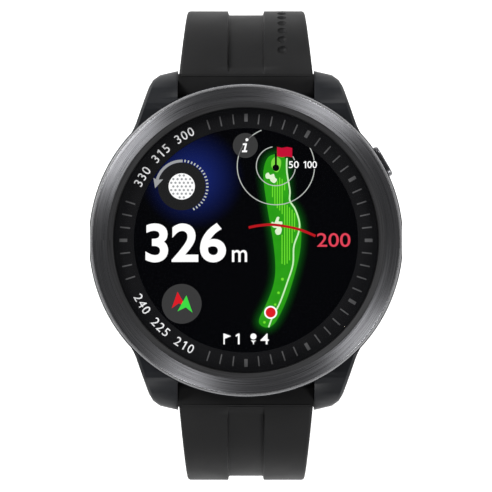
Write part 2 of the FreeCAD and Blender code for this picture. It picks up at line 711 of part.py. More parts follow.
def band(start, degrees, runs, depths, width):
    """A solid strip of the strap between two depths, centred on X = 0."""
    near, far = (follow(start, degrees, runs, depth) for depth in depths)
    caps = [
        Part.LineSegment(near[0].Vertexes[0].Point, far[0].Vertexes[0].Point).toShape(),
        Part.LineSegment(near[-1].Vertexes[-1].Point, far[-1].Vertexes[-1].Point).toShape(),
    ]
    wire = Part.Wire(Part.__sortEdges__(near + caps + far))
    face = Part.Face(wire)
    face.translate(V(-width / 2, 0, 0))
    return face.extrude(V(width, 0, 0))


def first_bend(reach):
    """Radius of the outer face where the strap turns down, and how far it turns to point down."""
    dip = value("strap_dip")
    return (reach - value("strap_start")) / (1 - math.sin(math.radians(dip))), 90 - dip


def taper(reach, bend_low, tip=None):
    """The space that gives the strap its width: narrowing over its first bend, then constant, with a
    round tip where one is given."""
    wide, narrow = value("strap_width / 2"), value("strap_narrow / 2")
    start = value("strap_start") + 0.6
    corners = [(-wide, 15), (-wide, start), (-narrow, reach + 0.05), (-narrow, reach + 1),
               (narrow, reach + 1), (narrow, reach + 0.05), (wide, start), (wide, 15)]
    points = [V(x, y, bend_low) for x, y in corners]
    upper = Part.Face(Part.makePolygon(points + points[:1])).extrude(V(0, 0, 40))
    edge = -60 if tip is None else tip + narrow
    lower = Part.makeBox(2 * narrow, 60 - edge, 80, V(-narrow, edge, bend_low - 80))
    if tip is not None:
        lower = lower.fuse(Part.makeCylinder(narrow, 80, V(0, edge, bend_low - 80)))
    return upper.fuse(lower)


def end_block():
    """The block round the spring bar, its bore, and the way for the thumb lever."""
    y, z, r = value("bar_reach"), value("bar_height"), value("barrel_radius")
    half = value("strap_width / 2")
    barrel = Part.makeCylinder(r, 2 * half, V(-half, y, z), X_AXIS)
    step = value("strap_start")
    top = z + r
    corners = [(y, top), (step + 0.3, top - 0.1), (step + 0.1, z - 0.6), (y, z - r)]
    points = [V(-half, a, b) for a, b in corners]
    return barrel.fuse(Part.Face(Part.makePolygon(points + points[:1])).extrude(V(2 * half, 0, 0)))


def bar_ways():
    y, z = value("bar_reach"), value("bar_height")
    bore = Part.makeCylinder(value("bar_tube_radius") + 0.03, 30, V(-15, y, z), X_AXIS)
    low = value("lever_place - lever_travel") - 0.6
    slot = Part.makeBox(value("lever_travel") + 1.2, 1.1, z + 2, V(low, y - 0.55, -2))
    return bore.fuse(slot)


def channel(start, degrees, runs, width):
    """The channel begins a little way down the first bend, where the strap leaves the lugs."""
    lead = 10
    radius, turn = runs[0]
    centre = start + inward(degrees) * radius
    begin = centre - inward(degrees - lead) * radius
    shorter = [(radius, turn - lead)] + runs[1:]
    return band(begin, degrees - lead, shorter, (-1, value("channel_deep")), width)


def strap_shape(reach, runs, tip=None):
    start = V(0, value("strap_start"), value("strap_start_top"))
    dip = -value("strap_dip")
    bend = first_bend(reach)
    low = start.z - bend[0] * math.cos(math.radians(value("strap_dip")))
    whole = band(start, dip, [bend] + runs, (0, value("strap_thick")), 30)
    body = whole.common(taper(reach, low, tip)).fuse(end_block()).cut(bar_ways())
    groove_runs = [bend] + runs[:-1]
    return body.cut(channel(start, dip, groove_runs, value("channel_width")))


def strap_feature(name, shape, angle):
    thing = doc.addObject("Part::Feature", name)
    thing.Shape = shape.removeSplitter()
    thing.Placement = FreeCAD.Placement(V(), FreeCAD.Rotation(Z_AXIS, angle))
    finished(thing, name)


def buckle_axis():
    """Where the buckle bar crosses the end of the upper strap, as (y, z)."""
    radius, _ = first_bend(value("upper_reach"))
    low = value("strap_start_top") - radius * math.cos(math.radians(value("strap_dip")))
    y = value("upper_reach - upper_turn - upper_level")
    return y, low - value("upper_turn") + value("strap_thick / 2")


def upper_strap():
    runs = [(value("upper_turn"), 90), (0, value("upper_level"))]
    body = strap_shape(value("upper_reach"), runs)
    y, z = buckle_axis()
    narrow = value("strap_narrow")
    loop = Part.makeCylinder(value("buckle_barrel"), narrow, V(-narrow / 2, y, z), X_AXIS)
    bore = Part.makeCylinder(value("buckle_bar_radius") + 0.05, 30, V(-15, y, z), X_AXIS)
    tang_way = Part.makeBox(2.8, 6.2, 8, V(-1.4, y - 3, z - 4))
    strap_feature("upper_strap", body.fuse(loop).cut(bore).cut(tang_way), 0)


def lower_strap():
    reach = value("lower_reach")
    side, turn = value("lower_side"), value("lower_side_turn")
    bend, level = value("lower_turn"), value("lower_level")
    runs = [(side, turn), (bend, 90 - turn), (0, level)]
    turn_end = reach - side * (1 - math.cos(math.radians(turn))) - bend * math.cos(math.radians(turn))
    tip = turn_end - level
    body = strap_shape(reach, runs, tip)
    pitch, radius = value("hole_pitch"), value("hole_radius")
    for k in range(6):
        place = V(0, tip + 9 + k * pitch, -90)
        body = body.cut(Part.makeCylinder(radius, 80, place))
    strap_feature("lower_strap", body, 180)


def keeper(name, place, slack):
    """A loop round the strap, with room outside it for the tail."""
    axis_y, axis_z = buckle_axis()
    half_thick = "strap_thick / 2"
    wide = f"strap_narrow / 2 + {slack}"
    low, high = f"{axis_z} - {half_thick} - keeper_room", f"{axis_z} + {half_thick} + {slack}"
    near, far = f"{axis_y} + {place} - keeper_long / 2", f"{axis_y} + {place} + keeper_long / 2"
    outer = box(f"{name}_outer", [f"-({wide}) - keeper_wall", near, f"{low} - keeper_wall"],
                [f"{wide} + keeper_wall", far, f"{high} + keeper_wall"])
    inner = box(f"{name}_inner", [f"-({wide})", f"{near} - 1", low], [wide, f"{far} + 1", high])
    soft = doc.addObject("Part::Fillet", f"{name}_soft")
    soft.Base = outer
    doc.recompute()
    soft.Edges = [(i, 1.0, 1.0) for i, e in enumerate(outer.Shape.Edges, start=1)
                  if abs(e.tangentAt(0).y) > 0.9]
    finished(cut(name, soft, [inner]), name)


def buckle():
    y, z = buckle_axis()
    arm_in, arm_out = "buckle_inside / 2", "buckle_inside / 2 + buckle_arm"
    low, high = f"{z} - buckle_half_thick", f"{z} + buckle_half_thick"
    outer = box("buckle_outer", [f"-({arm_out})", f"{y} - buckle_long", low], [arm_out, f"{y} + 1.7", high])
    soft = doc.addObject("Part::Fillet", "buckle_soft")
    soft.Base = outer
    doc.recompute()
    soft.Edges = [(i, 1.6, 1.6) for i, e in enumerate(outer.Shape.Edges, start=1)
                  if abs(e.tangentAt(0).z) > 0.9]
    inside = box("buckle_space", [f"-({arm_in})", f"{y} - buckle_long + buckle_cross", f"{low} - 1"],
                 [arm_in, f"{y} + 5", f"{high} + 1"])
    way = rod("buckle_bar_way", "buckle_bar_radius + 0.02", "-buckle_inside / 2 - 1.2",
              "buckle_inside / 2 + 1.2", y=str(y), z=str(z), axis="x")
    finished(cut("buckle_frame", soft, [inside, way]), "buckle_frame")
    finished(rod("buckle_bar", "buckle_bar_radius", "-buckle_inside / 2 - 1.15",
                 "buckle_inside / 2 + 1.15", y=str(y), z=str(z), axis="x"), "buckle_bar")
    rest = "buckle_half_thick + 0.03"
    blade = padded("tang_blade", "YZ_Plane", [
        ("-0.2", "-1.3"),
        ("-1", "0"),
        ("-5.9", f"-({rest})"),
        ("-buckle_long - 0.3", f"-({rest})"),
        ("-buckle_long - 0.3", f"-({rest}) - 0.8"),
        ("-buckle_long + 0.5", f"-({rest}) - 1.3"),
        ("-5.5", f"-({rest}) - 1.3"),
    ], "1.9", both_ways=True)
    put(blade, y=str(y), z=str(z))
    eye = rod("tang_eye", "1.6", "-1.1", "1.1", y=str(y), z=str(z), axis="x")
    hole = rod("tang_hole", "buckle_bar_radius + 0.05", "-3", "3", y=str(y), z=str(z), axis="x")
    finished(cut("buckle_tang", fuse("tang_blank", [blade, eye]), [hole]), "buckle_tang")


# ---------------------------------------------------------------- making and writing


def check(things):
    """Stops on a failed feature, a broken shape, or a cut that took nothing away."""
    for thing in doc.Objects:
        if {"Invalid", "Error"} & set(thing.State):
            raise RuntimeError(f"{thing.Name} failed: {thing.State}")
    for thing in cuts:
        if thing.Shape.Volume > thing.Base.Shape.Volume - 1e-4:
            raise RuntimeError(f"{thing.Name} cuts nothing")
    for thing in things:
        shape = thing.Shape
        if shape.isNull() or not shape.isValid() or not shape.Solids:
            raise RuntimeError(f"{thing.Label} has no valid solid")


def write(things):
    os.makedirs("parts", exist_ok=True)
    for thing in things:
        thing.Shape.exportStep(os.path.join("parts", thing.Label + ".step"))


parts = []
cuts = []
fill_sheet()
mid_case()
bezel_and_glass()
back()
carrier_and_board()
power_and_alerts()
flexes()
button()
spring_bar("upper")
spring_bar("lower")
upper_strap()
lower_strap()
keeper("fixed_keeper", "fixed_keeper_place", "0")
keeper("sliding_keeper", "sliding_keeper_place", "0.2")
buckle()
doc.recompute()
check(parts)
write(parts)
print(len(parts), "sub-parts")
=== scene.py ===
import json
import math

import bmesh
import bpy
from mathutils import Matrix, Vector


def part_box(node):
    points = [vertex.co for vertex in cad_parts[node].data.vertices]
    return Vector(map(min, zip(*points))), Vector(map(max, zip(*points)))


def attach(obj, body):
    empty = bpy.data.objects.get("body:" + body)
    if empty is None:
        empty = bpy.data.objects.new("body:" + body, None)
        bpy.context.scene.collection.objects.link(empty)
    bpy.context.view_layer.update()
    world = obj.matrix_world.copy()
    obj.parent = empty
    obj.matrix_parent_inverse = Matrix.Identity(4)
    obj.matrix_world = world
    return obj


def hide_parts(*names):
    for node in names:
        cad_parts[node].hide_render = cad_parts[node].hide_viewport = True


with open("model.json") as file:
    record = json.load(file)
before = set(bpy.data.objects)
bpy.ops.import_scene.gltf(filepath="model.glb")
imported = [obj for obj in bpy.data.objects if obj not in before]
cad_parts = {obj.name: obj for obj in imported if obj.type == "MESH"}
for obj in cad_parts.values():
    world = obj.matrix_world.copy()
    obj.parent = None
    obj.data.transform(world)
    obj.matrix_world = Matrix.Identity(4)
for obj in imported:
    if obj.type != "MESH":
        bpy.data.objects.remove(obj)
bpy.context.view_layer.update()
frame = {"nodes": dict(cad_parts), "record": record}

# Lengths below are millimetres in the row frame, and become metres where a mesh is made.
MM = 0.001
SEGMENTS = 256


def cad_box(node):
    """Lowest and highest corner of a CAD node, in millimetres."""
    return [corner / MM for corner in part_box(node)]


# ------------------------------------------------------------------ materials


class Shader:
    """A Principled material under construction, with shortcuts for the nodes that the looks share."""

    def __init__(self, name, color, roughness, metallic=0.0, **sockets):
        self.material = bpy.data.materials.new(name)
        self.material.use_nodes = True
        self.tree = self.material.node_tree
        self.bsdf = self.tree.nodes["Principled BSDF"]
        self.set("Base Color", (*color, 1.0))
        self.set("Roughness", roughness)
        self.set("Metallic", metallic)
        for socket, amount in sockets.items():
            self.set(socket.replace("_", " "), amount)
        self.place = self.node("ShaderNodeTexCoord").outputs["Object"]
        self.normal = None

    def set(self, socket, amount):
        self.bsdf.inputs[socket].default_value = amount

    def node(self, kind, inputs=(), **settings):
        made = self.tree.nodes.new(kind)
        for key, setting in settings.items():
            setattr(made, key, setting)
        for key, source in dict(inputs).items():
            if isinstance(source, bpy.types.NodeSocket):
                self.tree.links.new(source, made.inputs[key])
            else:
                made.inputs[key].default_value = source
        return made

    def math(self, operation, a, b=0.0):
        return self.node("ShaderNodeMath", {0: a, 1: b}, operation=operation).outputs[0]

    def noise(self, grain_mm, detail):
        """Noise whose features are about grain_mm wide."""
        inputs = {"Vector": self.place, "Scale": 1 / (grain_mm * MM), "Detail": detail}
        return self.node("ShaderNodeTexNoise", inputs).outputs["Fac"]

    def streaks(self, vector, detail=3.0):
        """Noise on coordinates that are already stretched to the marks' size."""
        inputs = {"Vector": vector, "Scale": 1.0, "Detail": detail}
        return self.node("ShaderNodeTexNoise", inputs).outputs["Fac"]

    def spread(self, factor, low, high):
        inputs = {"Value": factor, "From Min": 0.3, "From Max": 0.7, "To Min": low, "To Max": high}
        return self.node("ShaderNodeMapRange", inputs).outputs["Result"]

    def tint(self, noise, color, other, socket="Base Color"):
        """Lets a noise choose between two tones."""
        mix = self.node("ShaderNodeMix", data_type="RGBA")
        self.tree.links.new(self.spread(noise, 0.0, 1.0), mix.inputs["Factor"])
        mix.inputs["A"].default_value = (*color, 1.0)
        mix.inputs["B"].default_value = (*other, 1.0)
        self.link(mix.outputs["Result"], socket)

    def link(self, source, socket):
        self.tree.links.new(source, self.bsdf.inputs[socket])

    def bump(self, height, depth_mm, strength=1.0):
        inputs = {"Height": height, "Distance": depth_mm * MM, "Strength": strength}
        if self.normal is not None:
            inputs["Normal"] = self.normal
        self.normal = self.node("ShaderNodeBump", inputs).outputs["Normal"]
        self.link(self.normal, "Normal")

    def polar(self, along, around):
        """Coordinates for marks that run round Z, stretched along the radius and around."""
        split = self.node("ShaderNodeSeparateXYZ", {0: self.place}).outputs
        radius = self.math("SQRT", self.math("ADD", self.math("MULTIPLY", split[0], split[0]),
                                             self.math("MULTIPLY", split[1], split[1])))
        angle = self.math("ARCTAN2", split[1], split[0])
        inputs = {0: self.math("MULTIPLY", radius, along), 1: self.math("MULTIPLY", angle, around),
                  2: self.math("MULTIPLY", split[2], along)}
        return self.node("ShaderNodeCombineXYZ", inputs).outputs[0]


def grained(name, color, other, roughness, metallic=0.0, grain=0.06, depth=0.004, **sockets):
    """Moulded or blasted finish: fine grain in the bump, wider patches in colour and gloss."""
    look = Shader(name, color, roughness, metallic, **sockets)
    fine = look.noise(grain, 4.0)
    wide = look.noise(4.0, 2.0)
    look.tint(wide, color, other)
    look.link(look.math("ADD", look.spread(wide, roughness - 0.04, roughness + 0.03),
                        look.spread(fine, -0.03, 0.03)), "Roughness")
    look.bump(fine, depth)
    return look.material


def brushed(name, color, other, roughness):
    """Metal turned on a lathe: fine lines round Z in colour, gloss and bump."""
    across, around = 26000.0, 2.2
    look = Shader(name, color, roughness, 1.0, Anisotropic=0.8, Anisotropic_Rotation=0.25)
    lines = look.streaks(look.polar(across, around))
    broad = look.streaks(look.polar(across / 5, around / 2), 2.0)
    both = look.math("ADD", look.math("MULTIPLY", lines, 0.6), look.math("MULTIPLY", broad, 0.4))
    look.tint(both, color, other)
    look.link(look.spread(lines, roughness - 0.06, roughness + 0.08), "Roughness")
    tangent = look.node("ShaderNodeTangent", direction_type="RADIAL", axis="Z").outputs[0]
    look.link(tangent, "Tangent")
    look.bump(lines, 0.0025)
    return look.material


def slope_finish(name, color, other):
    """Black coating with fine turned lines round Z, on the slope down to the glass."""
    look = Shader(name, color, 0.5, Specular_IOR_Level=0.12)
    lines = look.streaks(look.polar(14000.0, 2.0))
    look.tint(lines, color, other)
    look.link(look.spread(lines, 0.48, 0.6), "Roughness")
    look.bump(lines, 0.003)
    return look.material


def straight_brushed(name, color, other, roughness):
    """Metal brushed along X."""
    look = Shader(name, color, roughness, 1.0)
    scaled = look.node("ShaderNodeMapping", {"Vector": look.place, "Scale": (900.0, 22000.0, 22000.0)})
    lines = look.streaks(scaled.outputs[0])
    look.tint(lines, color, other)
    look.link(look.spread(lines, roughness - 0.06, roughness + 0.06), "Roughness")
    look.bump(lines, 0.002)
    return look.material


def rubber(name, color, other):
    """Silicone: satin skin with a faint moulding grain and dusty patches."""
    look = Shader(name, color, 0.6, Specular_IOR_Level=0.17)
    fine = look.noise(0.11, 5.0)
    cells = look.node("ShaderNodeTexVoronoi", {"Vector": look.place, "Scale": 1 / (0.3 * MM)},
                      feature="DISTANCE_TO_EDGE").outputs["Distance"]
    wide = look.noise(5.0, 3.0)
    look.tint(wide, color, other)
    look.link(look.math("ADD", look.spread(wide, 0.55, 0.65),
                        look.spread(fine, -0.03, 0.03)), "Roughness")
    look.bump(cells, 0.008, 0.35)
    look.bump(fine, 0.006)
    return look.material


def clear(name, alpha):
    """Coated crystal, thin enough to the eye that it is told only by its gloss."""
    look = Shader(name, (0.02, 0.022, 0.03), 0.02, Alpha=alpha, IOR=1.5)
    look.link(look.spread(look.noise(14.0, 1.0), 0.02, 0.026), "Roughness")
    return look.material


def unlit(name):
    """The start of every lit material: nothing but its own light."""
    return Shader(name, (0.0, 0.0, 0.0), 0.5, Specular_IOR_Level=0.0)


def lit(name, color, strength=1.0):
    """A lit patch of the display. Its light varies a little from pixel to pixel."""
    look = unlit(name)
    look.set("Emission Color", (*color, 1.0))
    rows = look.node("ShaderNodeTexChecker", {"Vector": look.place, "Scale": 1 / (0.07 * MM),
                                              "Color1": (1, 1, 1, 1), "Color2": (0.9, 0.9, 0.9, 1)})
    level = look.node("ShaderNodeMapRange", {"Value": rows.outputs["Fac"], "To Min": strength * 0.97,
                                             "To Max": strength * 1.03})
    look.link(level.outputs[0], "Emission Strength")
    return look.material


def halo(name, color, centre, radius, strength):
    """A lit patch that fades with distance from its centre."""
    look = unlit(name)
    away = look.node("ShaderNodeVectorMath", {0: look.place, 1: Vector((*centre, 0)) * MM},
                     operation="SUBTRACT")
    flat = look.node("ShaderNodeVectorMath", {0: away.outputs[0], 1: (1.0, 1.0, 0.0)},
                     operation="MULTIPLY")
    length = look.node("ShaderNodeVectorMath", {0: flat.outputs[0]}, operation="LENGTH")
    fade = look.node("ShaderNodeMapRange", {"Value": length.outputs["Value"], "From Min": 0.0,
                                            "From Max": radius * MM, "To Min": 1.0, "To Max": 0.0},
                     interpolation_type="SMOOTHSTEP")
    look.set("Emission Color", (*color, 1.0))
    look.link(look.math("MULTIPLY", fade.outputs[0], strength), "Emission Strength")
    return look.material


def edge_glow(name, color, strength):
    """A glow whose brightness is stored on the mesh, from 1 at the shape to 0 at the glow's rim."""
    look = unlit(name)
    level = look.node("ShaderNodeAttribute", attribute_name="level").outputs["Fac"]
    look.set("Emission Color", (*color, 1.0))
    look.link(look.math("MULTIPLY", look.math("POWER", level, 1.6), strength), "Emission Strength")
    return look.material


def turf(name, color, other):
    """Fairway of the hole map: green with a slow change of tone."""
    look = unlit(name)
    look.tint(look.noise(3.0, 2.0), color, other, "Emission Color")
    look.set("Emission Strength", 1.0)
    return look.material


FLOOR_GLOW = 0.3


def floor_material():
    """A pale floor lit a little from below, as a product table is, so that it stays pale far off."""
    pale, shade = (0.95, 0.95, 0.95), (0.93, 0.93, 0.93)
    look = Shader("pale_floor", pale, 0.7, Specular_IOR_Level=0.2, Emission_Color=(1.0, 1.0, 1.0, 1.0),
                  Emission_Strength=FLOOR_GLOW)
    look.tint(look.noise(60.0, 3.0), pale, shade)
    look.bump(look.noise(0.8, 3.0), 0.01, 0.3)
    return look.material


LOOKS = {
    "case_black": grained("case_black", (0.0055, 0.0062, 0.0078), (0.0075, 0.0084, 0.0105), 0.42,
                          grain=0.07, Specular_IOR_Level=0.22),
    "bezel_metal": brushed("bezel_metal", (0.15, 0.152, 0.163), (0.34, 0.34, 0.356), 0.3),
    "bezel_edge": grained("bezel_edge", (0.3, 0.3, 0.309), (0.24, 0.24, 0.247), 0.25, 1.0,
                          grain=0.4, depth=0.001),
    "bezel_slope": slope_finish("bezel_slope", (0.006, 0.006, 0.0065), (0.03, 0.03, 0.0315)),
    "crystal": clear("crystal", 0.03),
    "seal_black": rubber("seal_black", (0.006, 0.006, 0.006), (0.009, 0.009, 0.009)),
    "dial_ink": grained("dial_ink", (0.0024, 0.0024, 0.0026), (0.0032, 0.0032, 0.0034), 0.55,
                        grain=0.2, depth=0.0005, Specular_IOR_Level=0.08),
    "tick_ink": grained("tick_ink", (0.062, 0.062, 0.063), (0.074, 0.074, 0.076), 0.5,
                        grain=0.1, depth=0.001, Specular_IOR_Level=0.1),
    "numeral_ink": grained("numeral_ink", (0.72, 0.72, 0.73), (0.66, 0.66, 0.67), 0.5,
                           grain=0.1, depth=0.001, Specular_IOR_Level=0.1),
    "clear_film": clear("clear_film", 0.1),
    "display": grained("display", (0.0005, 0.0005, 0.0006), (0.0008, 0.0008, 0.001), 0.4,
                       grain=0.1, depth=0.0005, Specular_IOR_Level=0.02),
    "back_metal": brushed("back_metal", (0.17, 0.17, 0.18), (0.24, 0.24, 0.25), 0.36),
    "steel": straight_brushed("steel", (0.5, 0.5, 0.51), (0.6, 0.6, 0.61), 0.3),
    "inner_plastic": grained("inner_plastic", (0.02, 0.02, 0.021), (0.028, 0.028, 0.029), 0.5),
    "gold": grained("gold", (0.85, 0.6, 0.24), (0.75, 0.5, 0.18), 0.25, 1.0, grain=0.3, depth=0.001),
    "board_green": grained("board_green", (0.01, 0.09, 0.04), (0.014, 0.12, 0.055), 0.4,
                           grain=0.5, depth=0.01),
    "antenna_ceramic": grained("antenna_ceramic", (0.66, 0.6, 0.5), (0.6, 0.54, 0.45), 0.6),
    "battery_foil": straight_brushed("battery_foil", (0.55, 0.55, 0.57), (0.62, 0.62, 0.64), 0.35),
    "adhesive": grained("adhesive", (0.7, 0.7, 0.68), (0.64, 0.64, 0.62), 0.7),
    "flex_film": grained("flex_film", (0.35, 0.13, 0.02), (0.42, 0.17, 0.03), 0.35),
    "button_metal": straight_brushed("button_metal", (0.1, 0.1, 0.107), (0.17, 0.17, 0.178), 0.3),
    "strap_rubber": rubber("strap_rubber", (0.0051, 0.0051, 0.0054), (0.0073, 0.0073, 0.0076)),
    "buckle_metal": straight_brushed("buckle_metal", (0.1, 0.1, 0.106), (0.18, 0.18, 0.188), 0.28),
}

BEVELED = {"mid_case": 0.14, "button_cap": 0.08, "buckle_tang": 0.14, "back_cover": 0.08,
           "upper_bar_lever": 0.06, "lower_bar_lever": 0.06}


def dress_cad_nodes():
    """Every CAD node gets its slot's look; the nodes in BEVELED also get a small worn bevel on their
    sharp edges.
    """
    slots = {s["node"]: s["material_slot"] for s in frame["record"]["subparts"]}
    for node, obj in frame["nodes"].items():
        obj.data.materials.clear()
        obj.data.materials.append(LOOKS[slots[node]])
        if node in BEVELED:
            add_bevel(obj, BEVELED[node])


def add_bevel(obj, width):
    weld = obj.modifiers.new("weld", "WELD")
    weld.merge_threshold = 0.0005 * MM
    bevel = obj.modifiers.new("bevel", "BEVEL")
    bevel.width = width * MM
    bevel.segments = 3
    bevel.limit_method = "ANGLE"
    bevel.angle_limit = math.radians(38)
    bevel.harden_normals = True


# ------------------------------------------------------------------ mesh helpers


def added(name, data):
    """A new object in the scene."""
    obj = bpy.data.objects.new(name, data)
    bpy.context.scene.collection.objects.link(obj)
    return obj


def piece(name, mesh, body, look, slot=None, replaces=()):
    """A visible piece that rides a body. The slot argument is not used."""
    obj = added(name, mesh)
    if not mesh.materials:
        mesh.materials.append(LOOKS[look] if isinstance(look, str) else look)
    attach(obj, body)
    slot or look
    if replaces:
        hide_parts(*replaces)
    return obj


def mesh_from(name, points, faces, smooth_angle=30.0):
    """Points in millimetres. Faces smoother than the angle shade as one."""
    mesh = bpy.data.meshes.new(name)
    mesh.from_pydata([Vector(p) * MM for p in points], [], faces)
    mesh.validate()
    finish_shading(mesh, smooth_angle)
    return mesh


def finish_shading(mesh, smooth_angle):
    mesh.shade_smooth()
    mesh.set_sharp_from_angle(angle=math.radians(smooth_angle))


def evaluated(obj):
    """A new mesh of the object as its modifiers or its curve make it."""
    bpy.context.view_layer.update()
    return bpy.data.meshes.new_from_object(obj.evaluated_get(bpy.context.evaluated_depsgraph_get()))


def edited(mesh, change):
    """The mesh after a change made to it as a bmesh."""
    shape = bmesh.new()
    shape.from_mesh(mesh)
    change(shape)
    shape.to_mesh(mesh)
    shape.free()
    return mesh


def faced_outwards(mesh):
    return edited(mesh, lambda shape: bmesh.ops.recalc_face_normals(shape, faces=shape.faces))


def eased_edges(mesh, chosen, width, segments):
    """The mesh with its chosen edges rounded."""
    return edited(mesh, lambda shape: bmesh.ops.bevel(
        shape, geom=[edge for edge in shape.edges if chosen(*(v.co for v in edge.verts))],
        offset=width * MM, segments=segments, affect="EDGES", profile=0.5))


def skin(near, far, n):
    """Four-sided faces between two loops of n points, each loop told by its first point."""
    return [(near + k, far + k, far + (k + 1) % n, near + (k + 1) % n) for k in range(n)]


def rounded_profile(corners, steps=5):
    """A closed outline of (a, b, radius) corners, with each corner rounded by its radius."""
    out = []
    count = len(corners)
    for i, (a, b, radius) in enumerate(corners):
        here = Vector((a, b))
        before = (Vector(corners[i - 1][:2]) - here).normalized()
        after = (Vector(corners[(i + 1) % count][:2]) - here).normalized()
        if radius == 0:
            out.append(here)
            continue
        half = before.angle(after) / 2
        reach = radius / math.tan(half)
        centre = here + (before + after).normalized() * (radius / math.sin(half))
        start, end = here + before * reach - centre, here + after * reach - centre
        sweep = start.angle_signed(end)
        for k in range(steps + 1):
            turn = Matrix.Rotation(-sweep * k / steps, 2)
            out.append(centre + turn @ start)
    return out


def lathe(name, corners, smooth_angle=30.0):
    """A closed profile of (radius, height, rounding) turned about Z."""
    profile = rounded_profile(corners)
    points, faces = [], []
    for i in range(SEGMENTS):
        angle = 2 * math.pi * i / SEGMENTS
        points += [(p.x * math.cos(angle), p.x * math.sin(angle), p.y) for p in profile]
    n = len(profile)
    for i in range(SEGMENTS):
        faces += skin(i * n, (i + 1) % SEGMENTS * n, n)
    return mesh_from(name, points, faces, smooth_angle)


# ------------------------------------------------------------------ bezel, crystal and dial ring

GLASS_LOW, GLASS_TOP = cad_box("cover_glass")[0].z, cad_box("cover_glass")[1].z
GLASS_RADIUS = cad_box("cover_glass")[1].x
BEZEL_LOW, BEZEL_TOP = cad_box("bezel_ring")[0].z, cad_box("bezel_ring")[1].z
BEZEL_RADIUS = cad_box("bezel_ring")[1].x
CASE_TOP = cad_box("mid_case")[1].z
DIAL_RING_LOW = cad_box("dial_ring")[0].z
DIAL_RING_RADIUS = cad_box("dial_ring")[1].x
ACTIVE_RADIUS = 16.65
CREST_RADIUS = 20.56
LIP_RADIUS = 19.7
EDGE_WIDTH = 0.4
FACE_FALL = 0.4
BEZEL_BORE, BEZEL_SEAT = 18.9, 20.9
GLASS_REBATE = 0.25


def bezel():
    """The brushed ring: a cone that rises inwards, a polished edge and a slope down to the glass."""
    edge_top = BEZEL_TOP - FACE_FALL
    mesh = lathe("bezel", [
        (BEZEL_BORE, BEZEL_LOW, 0), (BEZEL_SEAT, BEZEL_LOW, 0), (BEZEL_SEAT, CASE_TOP, 0),
        (BEZEL_RADIUS, CASE_TOP, 0.1),
        (BEZEL_RADIUS, edge_top - EDGE_WIDTH, 0.12),
        (BEZEL_RADIUS - EDGE_WIDTH, edge_top, 0.06),
        (CREST_RADIUS, BEZEL_TOP, 0.05),
        (CREST_RADIUS - 0.1, BEZEL_TOP - 0.03, 0.02),
        (LIP_RADIUS, GLASS_TOP + 0.02, 0.03),
        (LIP_RADIUS, GLASS_TOP - GLASS_REBATE, 0),
        (LIP_RADIUS + GLASS_REBATE, GLASS_TOP - GLASS_REBATE, 0),
        (LIP_RADIUS + GLASS_REBATE, DIAL_RING_LOW, 0), (BEZEL_BORE, DIAL_RING_LOW, 0),
    ], 18.0)
    for look in ("bezel_metal", "bezel_edge", "bezel_slope"):
        mesh.materials.append(LOOKS[look])
    for face in mesh.polygons:
        radius, height = face.center.xy.length / MM, face.center.z / MM
        if radius > BEZEL_RADIUS - EDGE_WIDTH - 0.02 and height > edge_top - EDGE_WIDTH - 0.1:
            face.material_index = 1
        elif radius < CREST_RADIUS - 0.02:
            face.material_index = 2
    piece("bezel", mesh, "case", "bezel_metal", replaces=["bezel_ring"])


def crystal():
    mesh = lathe("crystal", [
        (0, GLASS_LOW + 0.01, 0), (GLASS_RADIUS, GLASS_LOW + 0.01, 0.03),
        (GLASS_RADIUS, GLASS_TOP - 0.2, 0.05), (GLASS_RADIUS - 0.25, GLASS_TOP, 0.1),
        (0, GLASS_TOP, 0),
    ])
    close_axis(mesh)
    piece("crystal", mesh, "case", "crystal", replaces=["cover_glass"])


def close_axis(mesh):
    """Merges the points that a turned profile leaves on its axis."""
    edited(mesh, lambda shape: bmesh.ops.remove_doubles(shape, verts=shape.verts, dist=0.0002 * MM))
    faced_outwards(mesh)


def placed(corners, origin=(0, 0)):
    """The corners of a flat shape, measured from an origin."""
    return [Vector(origin) + Vector(corner) for corner in corners]


def prism(outline, low, high):
    """Points and faces of a flat block over an outline of (x, y)."""
    n = len(outline)
    points = [(x, y, low) for x, y in outline] + [(x, y, high) for x, y in outline]
    faces = [tuple(range(n - 1, -1, -1)), tuple(range(n, 2 * n))]
    faces += [(k, (k + 1) % n, n + (k + 1) % n, n + k) for k in range(n)]
    return points, faces


def joined(blocks):
    points, faces = [], []
    for block_points, block_faces in blocks:
        shift = len(points)
        points += block_points
        faces += [tuple(k + shift for k in face) for face in block_faces]
    return points, faces


PRINT_LOW = GLASS_LOW - 0.035
PRINT_HIGH = GLASS_LOW - 0.005
TICK_OUTER = 18.76
TICK_LONG, TICK_SHORT = 1.48, 1.16
TICK_THIN, TICK_THICK = 0.2, 0.5
NUMERAL_RADIUS, NUMERAL_HEIGHT, NUMERAL_WEIGHT = 18.05, 1.32, 0.003
BLANK_SECTORS = ((114, 156), (204, 246))


